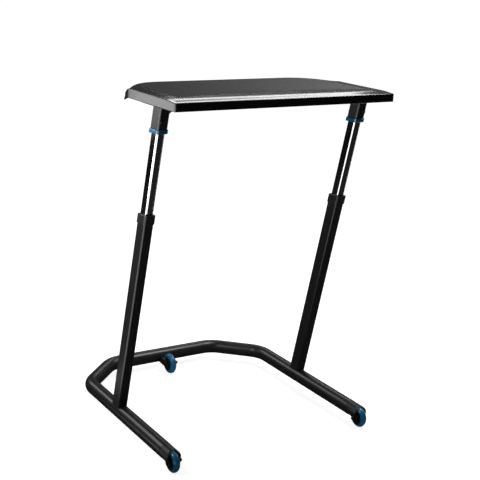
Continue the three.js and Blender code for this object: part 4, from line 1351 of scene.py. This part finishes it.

# %% [markdown]
# ## The working parts inside the legs
# The sockets, split shoes, rods, springs, seats and pins are inside the tubes. The measured frame
# already has them in full, so they stay as they are and only take a finish. The rod's flange
# pushes the coil spring together, towards its upper seat, by the 4 mm that a release collar
# lifts. Each spring gets a mesh of its own.

# %% Finish the inner parts
inner_finishes = {
    "leg_socket": bare_steel, "guide_shoe": plastic, "spring_seat": plastic,
    "return_spring": zinc, "pull_rod": zinc, "collar_pin": zinc,
}

for name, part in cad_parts.items():
    kind = name.rsplit("_", 1)[0]
    if kind in inner_finishes:
        part.data.materials.clear()
        part.data.materials.append(inner_finishes[kind][0])
for where, side in sides:
    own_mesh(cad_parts[f"return_spring_{where}"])
shown = sorted(name for name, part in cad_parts.items() if not part.hide_render)
print("still shown from the frame:", shown)

# %% [markdown]
# ## Floor and surroundings
# The desk stands on a plain white floor that fills the whole picture. The floor is an ordinary
# pale surface that takes a soft shadow, and a glow that only the camera sees keeps it white. The
# glow is a little weaker near the desk, so that the shadow shows there. Black lacquer and chrome
# are mirrors, so what they see matters as much as the light on them: to them the floor is white
# on the left and far on the right, where the legs get their bright edges, and dark in between.

# %% Make the floor's look
# where each white card of the floor starts and ends across and along, and how bright it is
cards = ((-0.55, -0.70, 0.5, 0.2, 2.6), (1.1, 1.6, -0.8, -0.3, 1.6))
glow_near, glow_far, glow_start, glow_end = 0.80, 1.0, 0.5, 2.2
seen_by_gloss, white = (0.05, 0.05, 0.052), (1, 1, 1, 1)


def empty_tree(owner):
    """Switches on the nodes of a material or a world, and clears them."""
    owner.use_nodes = True
    owner.node_tree.nodes.clear()
    return owner.node_tree


floor_look = bpy.data.materials.new("white_floor")
tree = empty_tree(floor_look)
ray, place = node(tree, "ShaderNodeLightPath").outputs, object_place(tree)
x, y, _ = node(tree, "ShaderNodeSeparateXYZ", {"Vector": place}).outputs
away = node(tree, "ShaderNodeVectorMath", {0: place}, operation="LENGTH").outputs["Value"]
glow = between(tree, away, glow_near, glow_far, glow_start, glow_end)
strength = calculate(tree, "MULTIPLY", ray["Is Camera Ray"], glow)
for x_from, x_to, y_from, y_to, bright in cards:
    across = between(tree, x, 0, bright, x_from, x_to, "SMOOTHSTEP")
    along = between(tree, y, 0, 1, y_from, y_to, "SMOOTHSTEP")
    card = calculate(tree, "MULTIPLY", across, along)
    strength = calculate(tree, "MULTIPLY_ADD", card, ray["Is Glossy Ray"], strength)
pale = blend_colours(tree, noise(tree, 0.25, 3), (0.78, 0.78, 0.78), (0.82, 0.82, 0.82))
tone = blend_colours(tree, ray["Is Glossy Ray"], pale, seen_by_gloss)
matt = node(tree, "ShaderNodeBsdfDiffuse", {"Color": tone}).outputs[0]
light = node(tree, "ShaderNodeEmission", {"Color": white, "Strength": strength}).outputs[0]
both = node(tree, "ShaderNodeAddShader", {0: matt, 1: light}).outputs[0]
node(tree, "ShaderNodeOutputMaterial", {"Surface": both})
print("made", floor_look.name, "with", len(cards), "cards that only gloss sees")

# %% Lay the floor and light the world
world_dim, floor_size = 0.05, 80

floor = flat_sheet((0, 0, 0), floor_size, floor_size)
floor.name = "floor"
floor.data.materials.append(floor_look)

world = bpy.context.scene.world = bpy.data.worlds.new("studio")
sky = empty_tree(world)
seen = between(sky, node(sky, "ShaderNodeLightPath").outputs["Is Camera Ray"], world_dim, 1.0)
backdrop = node(sky, "ShaderNodeBackground", {"Color": white, "Strength": seen}).outputs[0]
node(sky, "ShaderNodeOutputWorld", {"Surface": backdrop})
print("the world is", world_dim, "bright, and white to the camera")

# %% [markdown]
# ## Lamps
# Large soft lamps are what draws shape on black things. One behind on the right is mirrored in the
# sloping front border, and a low one behind on the left in the long side of the board. A third,
# also behind on the left, draws a streak along the tubes of the base. A long one overhead lights
# the bars and the wheels, a near one the left leg, and a small one above the desk the right of the
# mat.

# %% Hang the lamps
def stand_up(name, data):
    """Puts a lamp or a camera in the scene."""
    stand = bpy.data.objects.new(name, data)
    bpy.context.scene.collection.objects.link(stand)
    return stand


def soft_lamp(name, place, target, width, height, watts):
    """A rectangular soft lamp at a place, aimed at a target. The camera doesn't see it."""
    lamp = bpy.data.lights.new(name, "AREA")
    lamp.shape, lamp.size, lamp.size_y, lamp.energy = "RECTANGLE", width, height, watts
    stand = stand_up(name, lamp)
    stand.location = place
    aim = Vector(target) - Vector(place)
    stand.rotation_euler = aim.to_track_quat("-Z", "Y").to_euler()
    stand.visible_camera = False


for lamp in (
    # name, place, target, width, height and watts
    ("border_lamp", (2.14, 2.97, 2.5), (0, -0.4, 1.18), 1.55, 0.55, 9.6),
    ("board_side_lamp", (-1.24, 1.0, 0.955), (-0.4, -0.25, 1.12), 0.58, 0.24, 1.3),
    ("streak_lamp", (-1.3, 3.2, 2.2), (0, 0, 0.1), 1.2, 0.8, 16),
    ("bar_lamp", (2.0, 0.1, 3.0), (0, 0.4, 0.05), 1.4, 3.6, 34),
    ("left_lamp", (-0.95, -0.15, 1.05), (-0.39, -0.15, 1.0), 0.4, 0.9, 6),
    ("top_lamp", (0.65, 0.0, 1.8), (0.25, 0, 1.18), 0.5, 0.5, 11),
):
    soft_lamp(*lamp)

# %% [markdown]
# ## The camera
# The camera stands a good three metres away on the front left, a little above the top, with a long
# lens, so that upright lines stay nearly parallel. A slight roll and a very small shift match the
# frame.

# %% Place the camera
eye = Vector((-1.83119, -3.04926, 1.61049))
heading, tilt, roll = 0.56281, -0.27049, 0.043184
picture, focal_pixels, middle_x, middle_y, sensor = 480, 1054.294, 240.525, 240.789, 36

lens = bpy.data.cameras.new("camera")
camera = stand_up("camera", lens)
aim = Matrix.Rotation(-heading, 4, "Z") @ Matrix.Rotation(math.pi / 2 + tilt, 4, "X")
camera.matrix_world = Matrix.Translation(eye) @ aim @ Matrix.Rotation(roll, 4, "Z")
lens.sensor_width, lens.lens = sensor, focal_pixels * sensor / picture
lens.shift_x = (picture / 2 - middle_x) / picture
lens.shift_y = (middle_y - picture / 2) / picture
lens.clip_start, lens.clip_end = 0.05, 100
bpy.context.scene.camera = camera
bpy.context.scene.view_settings.view_transform = "Standard"
print("lens", round(lens.lens, 2), "mm")
